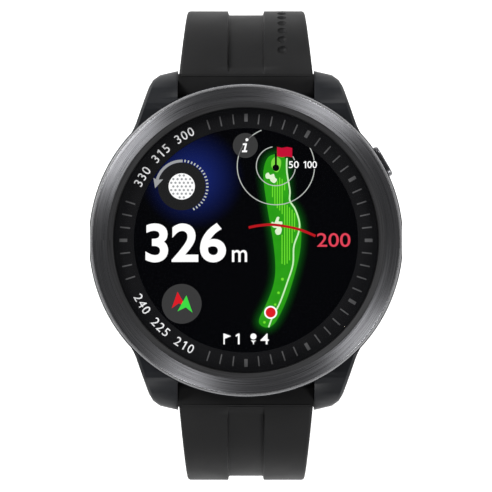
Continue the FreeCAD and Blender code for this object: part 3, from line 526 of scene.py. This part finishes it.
def dial_ring():
    """The printed ring under the glass and its minute track, blank where the bearings stand."""
    mesh = lathe("dial_print", [
        (ACTIVE_RADIUS, DIAL_RING_LOW, 0), (DIAL_RING_RADIUS, DIAL_RING_LOW, 0),
        (DIAL_RING_RADIUS, PRINT_LOW, 0), (ACTIVE_RADIUS, PRINT_LOW, 0.01),
    ])
    piece("dial_print", mesh, "case", "dial_ink", replaces=["dial_ring"])
    blocks = []
    for angle in range(0, 360, 6):
        if any(a <= angle <= b for a, b in BLANK_SECTORS):
            continue
        length, width = (TICK_SHORT, TICK_THICK) if angle % 30 == 0 else (TICK_LONG, TICK_THIN)
        inner, half = TICK_OUTER - length, width / 2
        turn = Matrix.Rotation(math.radians(angle), 2)
        tick = [turn @ corner for corner in placed(((inner, -half), (TICK_OUTER, -half),
                                                    (TICK_OUTER, half), (inner, half)))]
        blocks.append(prism(tick, PRINT_LOW, PRINT_HIGH))
    track = mesh_from("minute_track", *joined(blocks))
    piece("minute_track", track, "case", LOOKS["tick_ink"], "dial_ink")


FIGURE_ONE = ((-0.2, 0.2), (-0.2, 0.36), (0.02, 0.5), (0.16, 0.5), (0.16, -0.5), (0.0, -0.5),
              (0.0, 0.3))


def text_mesh(text, height, weight=0.0):
    """Figures as a block one unit thick, centred on the origin, with the given height. The weight
    thickens the strokes. A single one is drawn here, with a flag and no foot."""
    if text == "1":
        outline = [(x * height / MM, y * height / MM) for x, y in FIGURE_ONE]
        return mesh_from("figures", *prism(outline, -0.5 / MM, 0.5 / MM))
    curve = bpy.data.curves.new("figures", "FONT")
    curve.body = text
    curve.offset = weight
    curve.resolution_u = 6
    curve.extrude = 0.5
    holder = added("figures", curve)
    mesh = evaluated(holder)
    bpy.data.objects.remove(holder)
    xs = [v.co.x for v in mesh.vertices]
    ys = [v.co.y for v in mesh.vertices]
    scale = height / (max(ys) - min(ys))
    middle = Vector(((max(xs) + min(xs)) / 2, (max(ys) + min(ys)) / 2, 0))
    for v in mesh.vertices:
        v.co = (v.co - middle) * scale
        v.co.z = math.copysign(0.5, v.co.z)
    return mesh


def on_circle(centre, radius, angle):
    return Vector(centre) + radius * Vector((math.cos(angle), math.sin(angle)))


def lay(mesh, low, high, centre, turn=0.0, width=None):
    """Puts a flat mesh between two heights, at a place on the dial, turned and fitted to a width."""
    xs = [v.co.x for v in mesh.vertices]
    stretch = width / (max(xs) - min(xs)) if width else 1.0
    spin = Matrix.Rotation(turn, 2)
    for v in mesh.vertices:
        flat = spin @ Vector((v.co.x * stretch, v.co.y)) + Vector(centre)
        v.co = Vector((flat.x, flat.y, low if v.co.z < 0 else high)) * MM
    mesh.shade_flat()
    return mesh


def bearings(name, numbers, first, last, heads_in):
    """Bearing figures that follow the ring from one angle to another, degrees from 3 o'clock."""
    glyphs = " ".join(numbers)
    step = (last - first) / (len(glyphs) - 1)
    for k, glyph in enumerate(glyphs):
        if glyph == " ":
            continue
        angle = math.radians(first + k * step)
        spin = angle + math.pi / 2 if heads_in else angle - math.pi / 2
        mesh = text_mesh(glyph, NUMERAL_HEIGHT, NUMERAL_WEIGHT)
        lay(mesh, PRINT_LOW, PRINT_HIGH, on_circle((0, 0), NUMERAL_RADIUS, angle), spin)
        piece(f"{name}_{k}", mesh, "case", LOOKS["numeral_ink"], "dial_ink")


# ------------------------------------------------------------------ the display's picture

PICTURE_LOW = cad_box("display_panel")[1].z + 0.008
LAYER = 0.014
SHEET = 0.006
FIGURE_LAYER = 8
WHITE = lit("lit_white", (1.0, 1.0, 1.0), 1.08)
SOFT_WHITE = lit("lit_soft_white", (0.55, 0.58, 0.55))
GREY = lit("lit_grey", (0.045, 0.045, 0.045))
DARK_GREY = lit("lit_dark_grey", (0.015, 0.015, 0.015))
MID_GREY = lit("lit_mid_grey", (0.36, 0.37, 0.38))
DIM_GREY = lit("lit_dim_grey", (0.17, 0.17, 0.17))
RED = lit("lit_red", (0.75, 0.012, 0.02))
FLAG_RED = lit("lit_flag_red", (0.58, 0.004, 0.035))
PINK = lit("lit_pink", (0.8, 0.06, 0.1))
GREEN_ARROW = lit("lit_green", (0.05, 0.75, 0.06))
LIGHT_GREEN = lit("lit_light_green", (0.17, 0.78, 0.03))
PALE_GREEN = lit("lit_pale_green", (0.22, 0.75, 0.06))
ARC_RED = lit("lit_arc_red", (0.5, 0.008, 0.012))
BLACK = lit("lit_black", (0.001, 0.001, 0.001))


def smooth_line(knots, closed=False):
    """A Catmull-Rom line through a few knots."""
    count, steps = len(knots), 8
    out = []
    for i in range(count if closed else count - 1):
        near = [(i + k) % count if closed else min(max(i + k, 0), count - 1) for k in (-1, 0, 1, 2)]
        a, b, c, d = (Vector(knots[k]) for k in near)
        for k in range(steps):
            u = k / steps
            out.append(0.5 * (2 * b + (c - a) * u + (2 * a - 5 * b + 4 * c - d) * u * u
                              + (3 * b - a - 3 * c + d) * u ** 3))
    if not closed:
        out.append(Vector(knots[-1]))
    return out


def circle(centre, radius, steps=64):
    return [on_circle(centre, radius, 2 * math.pi * k / steps) for k in range(steps)]


def ribbon(line, width):
    """The outline of a line drawn with a pen, with a square end."""
    left, right = [], []
    for i, point in enumerate(line):
        along = (line[min(i + 1, len(line) - 1)] - line[max(i - 1, 0)]).normalized()
        side = Vector((-along.y, along.x)) * width / 2
        left.append(point + side)
        right.append(point - side)
    return left + right[::-1]


def arc_line(centre, radius, first, last, steps):
    """Points from one angle to another, in degrees from 3 o'clock."""
    return [on_circle(centre, radius, math.radians(first + (last - first) * k / steps))
            for k in range(steps + 1)]


def drawn(name, outlines, layer, look, replaces=()):
    """Lit shapes on one layer of the picture."""
    low = PICTURE_LOW + layer * LAYER
    mesh = mesh_from(name, *joined([prism(o, low, low + SHEET) for o in outlines]), 10.0)
    return piece(name, mesh, "case", look, "display", replaces)


def written(name, text, look, centre, height, width=None, weight=0.0):
    """Lit figures over the rest of the picture, fitted to a height and, if given, a width."""
    low = PICTURE_LOW + FIGURE_LAYER * LAYER
    mesh = lay(text_mesh(text, height, weight), low, low + SHEET, centre, width=width)
    return piece(name, mesh, "case", look, "display")


FAIRWAY = ((4.4, 12.8), (5.5, 12.55), (6.1, 11.2), (6.2, 9.2), (6.5, 6.0), (7.6, 4.2), (8.15, 2.2),
           (8.1, -1.0), (7.4, -4.4), (6.1, -8.6), (4.6, -11.8), (3.4, -12.9), (2.2, -12.6),
           (1.98, -11.6), (3.2, -9.0), (4.1, -6.4), (4.35, -3.8), (4.0, 0.0), (3.3, 4.0), (2.7, 8.0),
           (2.6, 10.4), (3.2, 12.2))
TRACK = ((6.06, 12.2), (6.06, 10.2), (6.5, 7.4), (6.5, 5.9), (7.3, 4.6), (7.9, 2.7), (7.8, 1.2),
         (7.1, -0.9), (6.95, -3.6), (6.1, -6.3), (5.0, -9.3), (4.0, -11.2), (3.35, -12.9))
# Each mown stripe: where it stands across the dial, and its two ends.
MOWN = ((3.93, 8.13, 6.41), (4.28, 8.27, 5.35), (4.64, 8.8, 4.77), (5.0, 9.3, 4.42), (5.36, 9.1, 3.89),
        (5.73, 8.6, 7.4), (5.73, 5.44, -3.64), (6.1, 5.26, -3.46), (6.45, 4.9, -2.97),
        (6.83, 4.55, -0.4), (7.2, 4.06, 1.28), (5.34, 0.83, -3.5))
AIM_DOTS = (((5.41, -5.76), 0.22), ((4.82, -7.78), 0.2), ((4.33, -9.53), 0.18), ((2.73, -12.16), 0.2))
PUTTING_GREEN = ((4.45, 12.4), (5.15, 11.9), (5.15, 11.0), (4.75, 10.15), (4.2, 10.25), (3.75, 11.0),
                 (3.85, 11.9))
NEAR_BUNKER = ((2.9, 9.75), (3.3, 10.05), (3.6, 9.7), (4.1, 9.85), (4.3, 9.35), (4.6, 8.95),
               (4.2, 8.5), (3.7, 8.75), (3.5, 9.1), (3.0, 9.2))
FAR_BUNKER = ((4.35, 2.9), (4.6, 3.45), (4.95, 3.4), (4.85, 2.85), (5.35, 2.75), (5.35, 2.3),
              (4.95, 2.2), (5.3, 1.7), (5.1, 0.95), (4.55, 0.85), (4.3, 1.4), (4.55, 1.8), (4.1, 1.9),
              (3.75, 2.3), (3.85, 2.75), (4.2, 2.6))
DRIVE_ARC = ((0.4, 1.9), (2.0, 2.2), (4.2, 2.3), (7.6, 1.7), (10.3, 0.65))
FLAG = ((4.6, 12.45), (5.35, 12.3), (6.1, 12.45), (6.85, 12.3), (6.85, 13.7), (6.1, 13.85),
        (5.35, 13.7), (4.6, 13.85))
PIN = (4.43, 11.0)
TEE = (3.66, -10.69)
NEAR_RING, FAR_RING, RING_PEN = 2.9, 5.73, 0.13


def grown(outline, amount):
    """The outline moved outwards by an amount."""
    out = []
    count = len(outline)
    for i, point in enumerate(outline):
        along = (outline[(i + 1) % count] - outline[i - 1]).normalized()
        out.append(point + Vector((-along.y, along.x)) * amount)
    return out


def fairway_glow(outline):
    """A strip round the fairway that carries how bright its glow is."""
    low = PICTURE_LOW + LAYER
    rings = [(0.0, 1.0), (0.3, 0.72), (0.6, 0.46), (0.95, 0.22), (1.4, 0.0)]
    points, levels, faces = [], [], []
    for amount, level in rings:
        points += [(p.x, p.y, low) for p in grown(outline, amount)]
        levels += [level] * len(outline)
    n = len(outline)
    for near in range(0, (len(rings) - 1) * n, n):
        faces += [(near + k, near + (k + 1) % n, near + n + (k + 1) % n, near + n + k)
                  for k in range(n)]
    mesh = mesh_from("fairway_glow", points, faces)
    store = mesh.attributes.new("level", "FLOAT", "POINT")
    for item, level in zip(store.data, levels):
        item.value = level
    piece("fairway_glow", mesh, "case", edge_glow("lit_glow", (0.008, 0.3, 0.012), 0.27), "display")


def hole_map():
    outline = smooth_line(FAIRWAY, closed=True)
    fairway_glow(outline)
    drawn("fairway", [outline], 2, turf("lit_turf", (0.02, 0.33, 0.006), (0.03, 0.39, 0.009)))
    stripes = [ribbon(placed(((x, top), (x, end))), 0.15) for x, top, end in MOWN]
    drawn("mown_stripes", stripes, 3, LIGHT_GREEN)
    drawn("aim_dots", [circle(place, radius, 24) for place, radius in AIM_DOTS], 3, LIGHT_GREEN)
    drawn("putting_green", [smooth_line(PUTTING_GREEN, True)], 4, PALE_GREEN)
    bunkers = [smooth_line(NEAR_BUNKER, True), smooth_line(FAR_BUNKER, True)]
    drawn("bunkers", bunkers, 4, lit("lit_sand", (0.8, 0.97, 0.68)))
    drawn("walked_track", [ribbon(smooth_line(TRACK), 0.23)], 5, lit("lit_track", (0.62, 0.96, 0.52)))
    # The rings stop short of the two figures that stand on them.
    rings = [ribbon(arc_line(PIN, radius, first, last, steps), RING_PEN)
             for radius, first, last, steps in (
                 (NEAR_RING, 100, 351.5, 84), (NEAR_RING, 377.5, 390, 8), (FAR_RING, 112, 127.5, 24),
                 (FAR_RING, 164.5, 355.8, 108), (FAR_RING, 368.6, 393, 16))]
    drawn("range_rings", rings, 6, SOFT_WHITE)
    behind_badge = ribbon(arc_line(PIN, FAR_RING, 127.5, 164.5, 32), RING_PEN)
    drawn("range_ring_dim", [behind_badge], 6, DIM_GREY)
    pole = ribbon(placed(((0, 1.9), (0, -0.1)), PIN), 0.3)
    drawn("pin", [pole, circle((PIN[0], PIN[1] - 0.25), 0.5, 24)], 7, BLACK)
    drawn("flag", [placed(FLAG)], 8, FLAG_RED)
    drawn("drive_arc", [ribbon(smooth_line(DRIVE_ARC), 0.38)], 7, ARC_RED)
    drawn("tee_rim", [circle(TEE, 0.97)], 8, WHITE)
    drawn("tee", [circle(TEE, 0.74)], 9, RED)


def figures():
    written("hole_distance", "326", WHITE, (-8.93, -0.35), 5.86, 11.95, 0.024)
    written("distance_unit", "m", WHITE, (-0.96, -2.32), 1.78, 2.25, 0.008)
    written("drive_distance", "200", PINK, (13.0, 0.05), 2.05, 4.95, 0.004)
    written("ring_near", "50", WHITE, (7.08, 11.22), 1.04, 1.5, 0.008)
    written("ring_far_1", "1", WHITE, (8.75, 11.22), 1.04)
    written("ring_far_00", "00", WHITE, (9.8, 11.22), 1.04, 1.42, 0.008)
    written("hole_number", "1", WHITE, (-1.2, -14.62), 1.6)
    written("hole_par", "4", WHITE, (2.77, -14.62), 1.6, 1.25, 0.002)
    hole_icons()


def hole_icons():
    """A small flag beside the hole's number and a ball on a tee beside its par."""
    pole = ribbon(placed(((-3.25, -15.42), (-3.25, -13.82))), 0.2)
    cloth = placed(((-3.2, -13.82), (-2.2, -14.2), (-3.2, -14.62)))
    drawn("hole_icon", [pole, cloth], FIGURE_LAYER, WHITE)
    ball = circle((1.1, -14.25), 0.45, 32)
    tee = placed(((0.7, -14.85), (1.5, -14.85), (1.2, -15.1), (1.14, -15.42), (1.06, -15.42),
                  (1.0, -15.1)))
    drawn("par_icon", [ball, tee], FIGURE_LAYER, WHITE)


SHOT = (-9.53, 7.99)
INFO = (-0.1, 14.06)
POINTERS = (-9.53, -9.41)


def shot_badge():
    """A round badge with a golf ball in it, a dotted rim and an arrow that turns back round it."""
    drawn("shot_disc", [circle(SHOT, 3.54, 96)], 2, DARK_GREY)
    starts = [84 - k * 7.6 for k in range(20)]
    dots = [ribbon(arc_line(SHOT, 3.8, start, start - 2.9, 2), 0.36) for start in starts]
    drawn("shot_dots", dots, 3, SOFT_WHITE)
    drawn("shot_arc", [ribbon(arc_line(SHOT, 3.77, 88, 164, 40), 0.4)], 3, MID_GREY)
    head = placed(((-4.2, 1.25), (-3.62, 1.0), (-2.75, 1.05), (-3.95, -0.25)), SHOT)
    drawn("shot_arrow", [head], 4, MID_GREY)
    drawn("shot_ball", [circle(SHOT, 1.95, 64)], 4, WHITE)
    spots = [Vector((column * 0.62 + (row % 2) * 0.31, row * 0.54))
             for row in range(-3, 4) for column in range(-3, 4)]
    pits = [circle(Vector(SHOT) + spot, 0.17, 16) for spot in spots if spot.length < 1.65]
    drawn("shot_dimples", pits, 5, MID_GREY)


def info_badge():
    drawn("info_disc", [circle(INFO, 1.85, 64)], 5, GREY)
    stem = placed(((-0.34, 0.32), (0.26, 0.32), (0.02, -0.72), (0.3, -0.72), (0.24, -1.0),
                   (-0.52, -1.0), (-0.46, -0.72), (-0.24, -0.72), (-0.06, 0.06), (-0.4, 0.06)), INFO)
    drawn("info_mark", [stem, circle((INFO[0] + 0.24, INFO[1] + 0.85), 0.22, 24)], 7, WHITE)


def pointer(tip, lean, size):
    """A navigation arrowhead: its tip, two tails and a notch."""
    turn = Matrix.Rotation(math.radians(lean), 2)
    return [Vector(tip) + turn @ place * size
            for place in placed(((0, 0), (0.44, -0.97), (0.02, -0.7), (-0.44, -0.97)))]


def pointer_badge():
    drawn("pointer_disc", [circle(POINTERS, 2.95, 96)], 2, GREY)
    drawn("pointer_target", [pointer((-10.15, -7.62), 5, 2.45)], 3, RED)
    drawn("pointer_self", [pointer((-8.83, -8.16), -5, 2.55)], 4, GREEN_ARROW)


def backdrop():
    """The dark picture under everything, with the blue light behind the shot badge."""
    blue = halo("lit_blue", (0.015, 0.035, 0.3), (-7.9, 9.2), 8.0, 0.5)
    drawn("picture", [circle((0, 0), ACTIVE_RADIUS - 0.06, SEGMENTS)], 0, blue, ["optical_film"])


# ------------------------------------------------------------------ straps

BAR_Y, BAR_Z, BARREL, BAR_BORE = 22.6, 3.9, 2.4, 0.93
LEVER_SLOT, LEVER_SLOT_HALF = (5.3, 8.4), 0.55
ACROSS = (1, 0, 0)
CUTTER_HALF = 12
STRAP_START = Vector((24.6, 6.55))
STRAP_DIP = 15.0
STRAP_THICK = 2.8
STRAP_HALF, STRAP_NARROW, STRAP_END_HALF = 10.0, 9.0, 10.17
STRAP_STEP = 0.07
CHANNEL_HALF, CHANNEL_DEEP = 2.67, 0.62
DIMPLE_COUNT, DIMPLE_START, DIMPLE_PITCH, DIMPLE_ACROSS = 9, 4.4, 2.0, 5.45
BUCKLE_BAR_RADIUS, BUCKLE_LOOP_RADIUS, TANG_SLOT_HALF = 0.8, 2.0, 1.4
KEEPER_WALL, KEEPER_EASE = 1.2, 0.3
HOLE_RADIUS, HOLE_PITCH, HOLE_COUNT, FIRST_HOLE = 1.1, 5.0, 6, 9.0


class Route:
    """The outer face of a strap half in its own (y, z) plane, as a chain of tangent arcs. It is made at
    12 o'clock; the lower half is the same turned half a turn."""

    def __init__(self, reach, runs):
        first = (reach - STRAP_START.x) / (1 - math.sin(math.radians(STRAP_DIP)))
        self.reach = reach
        self.spans = []
        here, degrees, total = STRAP_START.copy(), -STRAP_DIP, 0.0
        for radius, amount in [(first, 90 - STRAP_DIP)] + runs:
            length = math.radians(amount) * radius if radius else amount
            self.spans.append((total, length, here.copy(), degrees, radius))
            here, degrees = self.along(here, degrees, radius, length)
            total += length
        self.length = total

    @staticmethod
    def inward(degrees):
        return Vector((math.sin(math.radians(degrees)), -math.cos(math.radians(degrees))))

    @staticmethod
    def ahead(degrees):
        return Vector((math.cos(math.radians(degrees)), math.sin(math.radians(degrees))))

    def along(self, here, degrees, radius, length):
        if not radius:
            return here + self.ahead(degrees) * length, degrees
        centre = here + self.inward(degrees) * radius
        degrees -= math.degrees(length / radius)
        return centre - self.inward(degrees) * radius, degrees

    def at(self, s):
        """Point on the outer face and heading, a distance s from the start."""
        for begin, length, here, degrees, radius in self.spans:
            if s <= begin + length + 1e-9:
                return self.along(here, degrees, radius, max(0.0, s - begin))
        return self.along(here, degrees, radius, s - begin)


def half_width(route, s, round_tip):
    """Half the strap's width: narrowing over the first bend, then even, then round at a free tip."""
    first_length = route.spans[0][1]
    narrows_from = STRAP_START.x + 0.6
    share = (route.at(s)[0].x - narrows_from) / (route.reach - narrows_from)
    share = min(max(share, 0.0), 1.0) if s <= first_length else 1.0
    width = STRAP_HALF - (STRAP_HALF - STRAP_NARROW) * share
    if round_tip and s > route.length - STRAP_NARROW:
        into = s - (route.length - STRAP_NARROW)
        width = math.sqrt(max(STRAP_NARROW ** 2 - into ** 2, 0.3 ** 2))
    return width


def eased(share):
    """A share kept between 0 and 1, with a slow start and end."""
    share = min(max(share, 0.0), 1.0)
    return share * share * (3 - 2 * share)


def channel_depth(route, s):
    """Shallow where the strap leaves the lugs, full over the bends, and gone before the level run."""
    level_from = route.spans[-1][0]
    return CHANNEL_DEEP * eased((s - 0.2) / 1.8) * eased((level_from - s) / 3.0)


def section(width, depth):
    """Half of the strap's section, from the middle of its outer face round to the middle of its inner
    face, as (across, below the outer face)."""
    outer, inner = min(0.5, width * 0.4), min(0.4, width * 0.4)
    wall = min(CHANNEL_HALF, width * 0.5)
    half = [(0.0, depth), (wall * 0.5, depth), (wall - 0.14, depth), (wall - 0.04, depth * 0.82),
            (wall + 0.04, depth * 0.18), (wall + 0.14, 0.0), (wall + (width - wall) * 0.5, 0.0)]
    quarter = [math.pi / 2 * k / 4 for k in range(5)]
    half += [(width - outer + outer * math.sin(a), outer - outer * math.cos(a)) for a in quarter]
    half += [(width - inner + inner * math.cos(a), STRAP_THICK - inner + inner * math.sin(a))
             for a in quarter]
    half += [(width * 0.5, STRAP_THICK), (0.0, STRAP_THICK)]
    return half


def strap_band(name, route, round_tip):
    """The strap's band as one closed mesh, section by section."""
    step = 0.6
    stations = [i * step for i in range(int((route.length - STRAP_NARROW) / step) + 1)]
    if round_tip:
        stations += [route.length - STRAP_NARROW * (1 - math.sin(math.radians(a)))
                     for a in range(3, 90, 4)]
    stations = sorted(set(round(s, 4) for s in stations) | {route.length - 0.02})
    points = []
    for s in stations:
        here, degrees = route.at(s)
        into = route.inward(degrees)
        half = section(half_width(route, s, round_tip), channel_depth(route, s))
        loop = half + [(-a, d) for a, d in reversed(half[1:-1])]
        points += [(a, here.x + into.x * d, here.y + into.y * d) for a, d in loop]
    n = len(loop)
    faces = [tuple(range(n)), tuple(range(len(points) - 1, len(points) - n - 1, -1))]
    for i in range(len(stations) - 1):
        faces += skin(i * n, (i + 1) * n, n)
    return faced_outwards(mesh_from(name, points, faces))


def across_block(name, outline, half, rounding):
    """An outline in (y, z) drawn out along X, with the rims of its two ends eased."""
    n = len(outline)
    points = [(-half, y, z) for y, z in outline] + [(half, y, z) for y, z in outline]
    faces = [tuple(range(n)), tuple(range(2 * n - 1, n - 1, -1))]
    faces += skin(0, n, n)
    mesh = faced_outwards(mesh_from(name, points, faces))
    return eased_edges(mesh, lambda a, b: abs(abs(a.x) - half * MM) < 1e-7 and abs(a.x - b.x) < 1e-7,
                       rounding, 3)


def combined(base, others, operation):
    """The base mesh joined to or cut by the others, with Blender's exact solver."""
    holder = added("base", base)
    extras = [added("tool", mesh) for mesh in others]
    for extra in extras:
        step = holder.modifiers.new("step", "BOOLEAN")
        step.operation = operation
        step.solver = "EXACT"
        step.object = extra
    result = evaluated(holder)
    for obj in [holder] + extras:
        bpy.data.objects.remove(obj)
    return result


def cylinder(radius, half, centre, axis):
    """A round cutter through a centre, along an axis."""
    turn = Vector((0, 0, 1)).rotation_difference(Vector(axis)).to_matrix().to_4x4()
    place = Matrix.Translation(Vector(centre) * MM) @ turn
    return edited(bpy.data.meshes.new("cutter"), lambda shape: bmesh.ops.create_cone(
        shape, cap_ends=True, segments=40, radius1=radius * MM, radius2=radius * MM,
        depth=2 * half * MM, matrix=place))


def block(low, high):
    outline = [(low[0], low[1]), (high[0], low[1]), (high[0], high[1]), (low[0], high[1])]
    return faced_outwards(mesh_from("block", *prism(outline, low[2], high[2])))


def strap_end():
    """The block round the spring bar, a little lower than the strap that leaves it."""
    top = STRAP_START.y - STRAP_STEP
    outline = arc_line((BAR_Y, BAR_Z), BARREL, 90, 270, 24)
    outline += [(STRAP_START.x + 0.1, BAR_Z - 0.6), (STRAP_START.x + 0.3, top), (BAR_Y + 1.0, top)]
    return across_block("strap_end", outline, STRAP_END_HALF, 0.12)


def dimples(route):
    """Shallow round dimples, like a golf ball's, down the right band of the upper strap."""
    radius, lift = 0.9, 0.5

    def add_spheres(shape):
        for k in range(DIMPLE_COUNT):
            here, degrees = route.at(DIMPLE_START + k * DIMPLE_PITCH)
            out = here - route.inward(degrees) * lift
            place = Matrix.Translation(Vector((DIMPLE_ACROSS, out.x, out.y)) * MM)
            bmesh.ops.create_uvsphere(shape, u_segments=32, v_segments=20, radius=radius * MM,
                                      matrix=place)

    return edited(bpy.data.meshes.new("dimples"), add_spheres)


def bar_cutters():
    """Cutters for the spring bar's bore and for the slot of its lever."""
    left, right = LEVER_SLOT
    return [cylinder(BAR_BORE, CUTTER_HALF, (0, BAR_Y, BAR_Z), ACROSS),
            block((left, BAR_Y - LEVER_SLOT_HALF, 0), (right, BAR_Y + LEVER_SLOT_HALF, BAR_Z))]


def finish_strap(name, mesh, body, node):
    finish_shading(mesh, 32.0)
    mesh.materials.clear()
    piece(name, mesh, body, "strap_rubber", replaces=[node])


def upper_strap():
    """The half with the buckle: one bend, then level to the loop on the buckle's bar."""
    reach = cad_box("upper_strap")[1].y
    bar_low, bar_high = cad_box("buckle_bar")
    y, z = (bar_low.y + bar_high.y) / 2, (bar_low.z + bar_high.z) / 2
    turn_radius = 24.0
    route = Route(reach, [(turn_radius, 90), (0, reach - turn_radius - y)])
    band = strap_band("upper_band", route, False)
    outline = arc_line((y, z), BUCKLE_LOOP_RADIUS, 0, 345, 23)
    loop = across_block("buckle_loop", outline, STRAP_NARROW, 0.3)
    mesh = combined(band, [strap_end(), loop], "UNION")
    tang_slot = block((-TANG_SLOT_HALF, y - 3, z - 4), (TANG_SLOT_HALF, y + 3.2, z + 4))
    bar = cylinder(BUCKLE_BAR_RADIUS + 0.05, CUTTER_HALF, (0, y, z), ACROSS)
    mesh = combined(mesh, bar_cutters() + [bar, tang_slot, dimples(route)], "DIFFERENCE")
    finish_strap("upper_strap_skin", mesh, "upper_half", "upper_strap")


def lower_strap():
    """The half with the holes: a long side, a bend, then level to its round tip."""
    low, high = cad_box("lower_strap")
    reach, tip = -low.y, -high.y
    side_radius, side_turn, turn_radius = 80.0, 25.0, 18.0
    turn_end = reach - side_radius * (1 - math.cos(math.radians(side_turn)))
    turn_end -= turn_radius * math.cos(math.radians(side_turn))
    route = Route(reach, [(side_radius, side_turn), (turn_radius, 90 - side_turn), (0, turn_end - tip)])
    band = strap_band("lower_band", route, True)
    mesh = combined(band, [strap_end()], "UNION")
    holes = [cylinder(HOLE_RADIUS, CUTTER_HALF / 2, (0, tip + FIRST_HOLE + k * HOLE_PITCH, low.z + 1),
                      (0, 0, 1)) for k in range(HOLE_COUNT)]
    mesh = combined(mesh, bar_cutters() + holes, "DIFFERENCE")
    mesh.transform(Matrix.Rotation(math.pi, 4, "Z"))
    finish_strap("lower_strap_skin", mesh, "lower_half", "lower_strap")


def keeper(node, body):
    """A moulded loop with soft edges, in place of the CAD one."""
    low, high = cad_box(node)

    def loop(inset, rounding):
        left, right, bottom, top = low.x + inset, high.x - inset, low.z + inset, high.z - inset
        return rounded_profile([(left, bottom, rounding), (right, bottom, rounding),
                                (right, top, rounding), (left, top, rounding)], 6)

    outer, inner = loop(0.0, 1.3), loop(KEEPER_WALL, 0.35)

    def row(y, share):
        """A ring of points at y: on the outer face for a share of 0, on the inner face for 1."""
        return [(a.x + (b.x - a.x) * share, y, a.y + (b.y - a.y) * share) for a, b in zip(outer, inner)]

    crown, hollow = 0.28, 0.72
    rows = [row(low.y + KEEPER_EASE, 0), row(high.y - KEEPER_EASE, 0), row(high.y, crown),
            row(high.y, hollow), row(high.y - KEEPER_EASE, 1), row(low.y + KEEPER_EASE, 1),
            row(low.y, hollow), row(low.y, crown)]
    n = len(outer)
    faces = []
    for i in range(len(rows)):
        faces += skin(i * n, (i + 1) % len(rows) * n, n)
    mesh = faced_outwards(mesh_from(node + "_skin", [p for ring in rows for p in ring], faces, 50.0))
    piece(node + "_skin", mesh, body, "strap_rubber", replaces=[node])


def buckle():
    """The buckle frame: two arms and a cross bar, with rounded corners and eased edges."""
    low, high = cad_box("buckle_frame")
    arm, cross = 1.8, 2.0
    outline = rounded_profile([(low.x, low.y, 1.8), (high.x, low.y, 1.8), (high.x, high.y, 0.7),
                               (high.x - arm, high.y, 0.7), (high.x - arm, low.y + cross, 0.9),
                               (low.x + arm, low.y + cross, 0.9), (low.x + arm, high.y, 0.7),
                               (low.x, high.y, 0.7)])
    mesh = faced_outwards(mesh_from("buckle_skin", *prism(outline, low.z, high.z)))
    eased_edges(mesh, lambda a, b: abs(a.z - b.z) < 1e-8, 0.32, 4)
    finish_shading(mesh, 35.0)
    piece("buckle_skin", mesh, "buckle", "buckle_metal", replaces=["buckle_frame"])


# ------------------------------------------------------------------ room, lights and camera

# The picture's width at the bezel's height, and how far the dial's centre is above the picture's.
PICTURE_SPAN = 72.6684
DIAL_ABOVE_CENTRE = 0.84189
CAMERA_AWAY = 450.0
FLOOR_HALF, FLOOR_GAP = 1500, 0.02
LIGHT_AIM = Vector((0, 0, 8))
ROOM_LIGHT = 0.11


def room():
    z, half = cad_box("lower_strap")[0].z - FLOOR_GAP, FLOOR_HALF
    mesh = mesh_from("floor", [(-half, -half, z), (half, -half, z), (half, half, z), (-half, half, z)],
                     [(0, 1, 2, 3)])
    mesh.materials.append(floor_material())
    obj = added("floor", mesh)


def softbox(name, place, size, watts):
    light = bpy.data.lights.new(name, "AREA")
    light.shape = "RECTANGLE"
    light.size, light.size_y = size[0] * MM, size[1] * MM
    light.energy = watts
    obj = added(name, light)
    obj.location = Vector(place) * MM
    obj.rotation_euler = (LIGHT_AIM - Vector(place)).to_track_quat("-Z", "Y").to_euler()


def lights():
    """Four soft boxes round the watch light the bezel's bright sectors. The room itself is dim."""
    softbox("key_upper_left", (-470, 355, 330), (330, 280), 5.6)
    softbox("fill_upper_right", (305, 525, 420), (230, 200), 3.0)
    softbox("fill_lower_right", (470, -395, 360), (240, 200), 3.4)
    softbox("fill_lower_left", (-230, -550, 400), (170, 170), 1.9)
    world = bpy.data.worlds.new("soft_room")
    world.use_nodes = True
    background = world.node_tree.nodes["Background"]
    background.inputs["Color"].default_value = (1.0, 1.0, 1.0, 1.0)
    background.inputs["Strength"].default_value = ROOM_LIGHT
    bpy.context.scene.world = world


def camera():
    """Straight above the dial, far off, with the dial a little above the picture's middle."""
    data = bpy.data.cameras.new("camera")
    data.sensor_width = 36.0
    data.lens = data.sensor_width * CAMERA_AWAY / PICTURE_SPAN
    data.clip_start, data.clip_end = 0.01, 10.0
    obj = added("camera", data)
    obj.location = Vector((0, -DIAL_ABOVE_CENTRE, BEZEL_TOP + CAMERA_AWAY)) * MM
    bpy.context.scene.camera = obj
    bpy.context.scene.view_settings.view_transform = "Standard"


dress_cad_nodes()
bezel()
crystal()
dial_ring()
bearings("bearing_upper", ("330", "315", "300"), 152, 117, False)
bearings("bearing_lower", ("240", "225", "210"), 208, 243, True)
backdrop()
hole_map()
figures()
shot_badge()
info_badge()
pointer_badge()
upper_strap()
lower_strap()
keeper("fixed_keeper", "upper_half")
keeper("sliding_keeper", "loose_keeper")
buckle()
room()
lights()
camera()
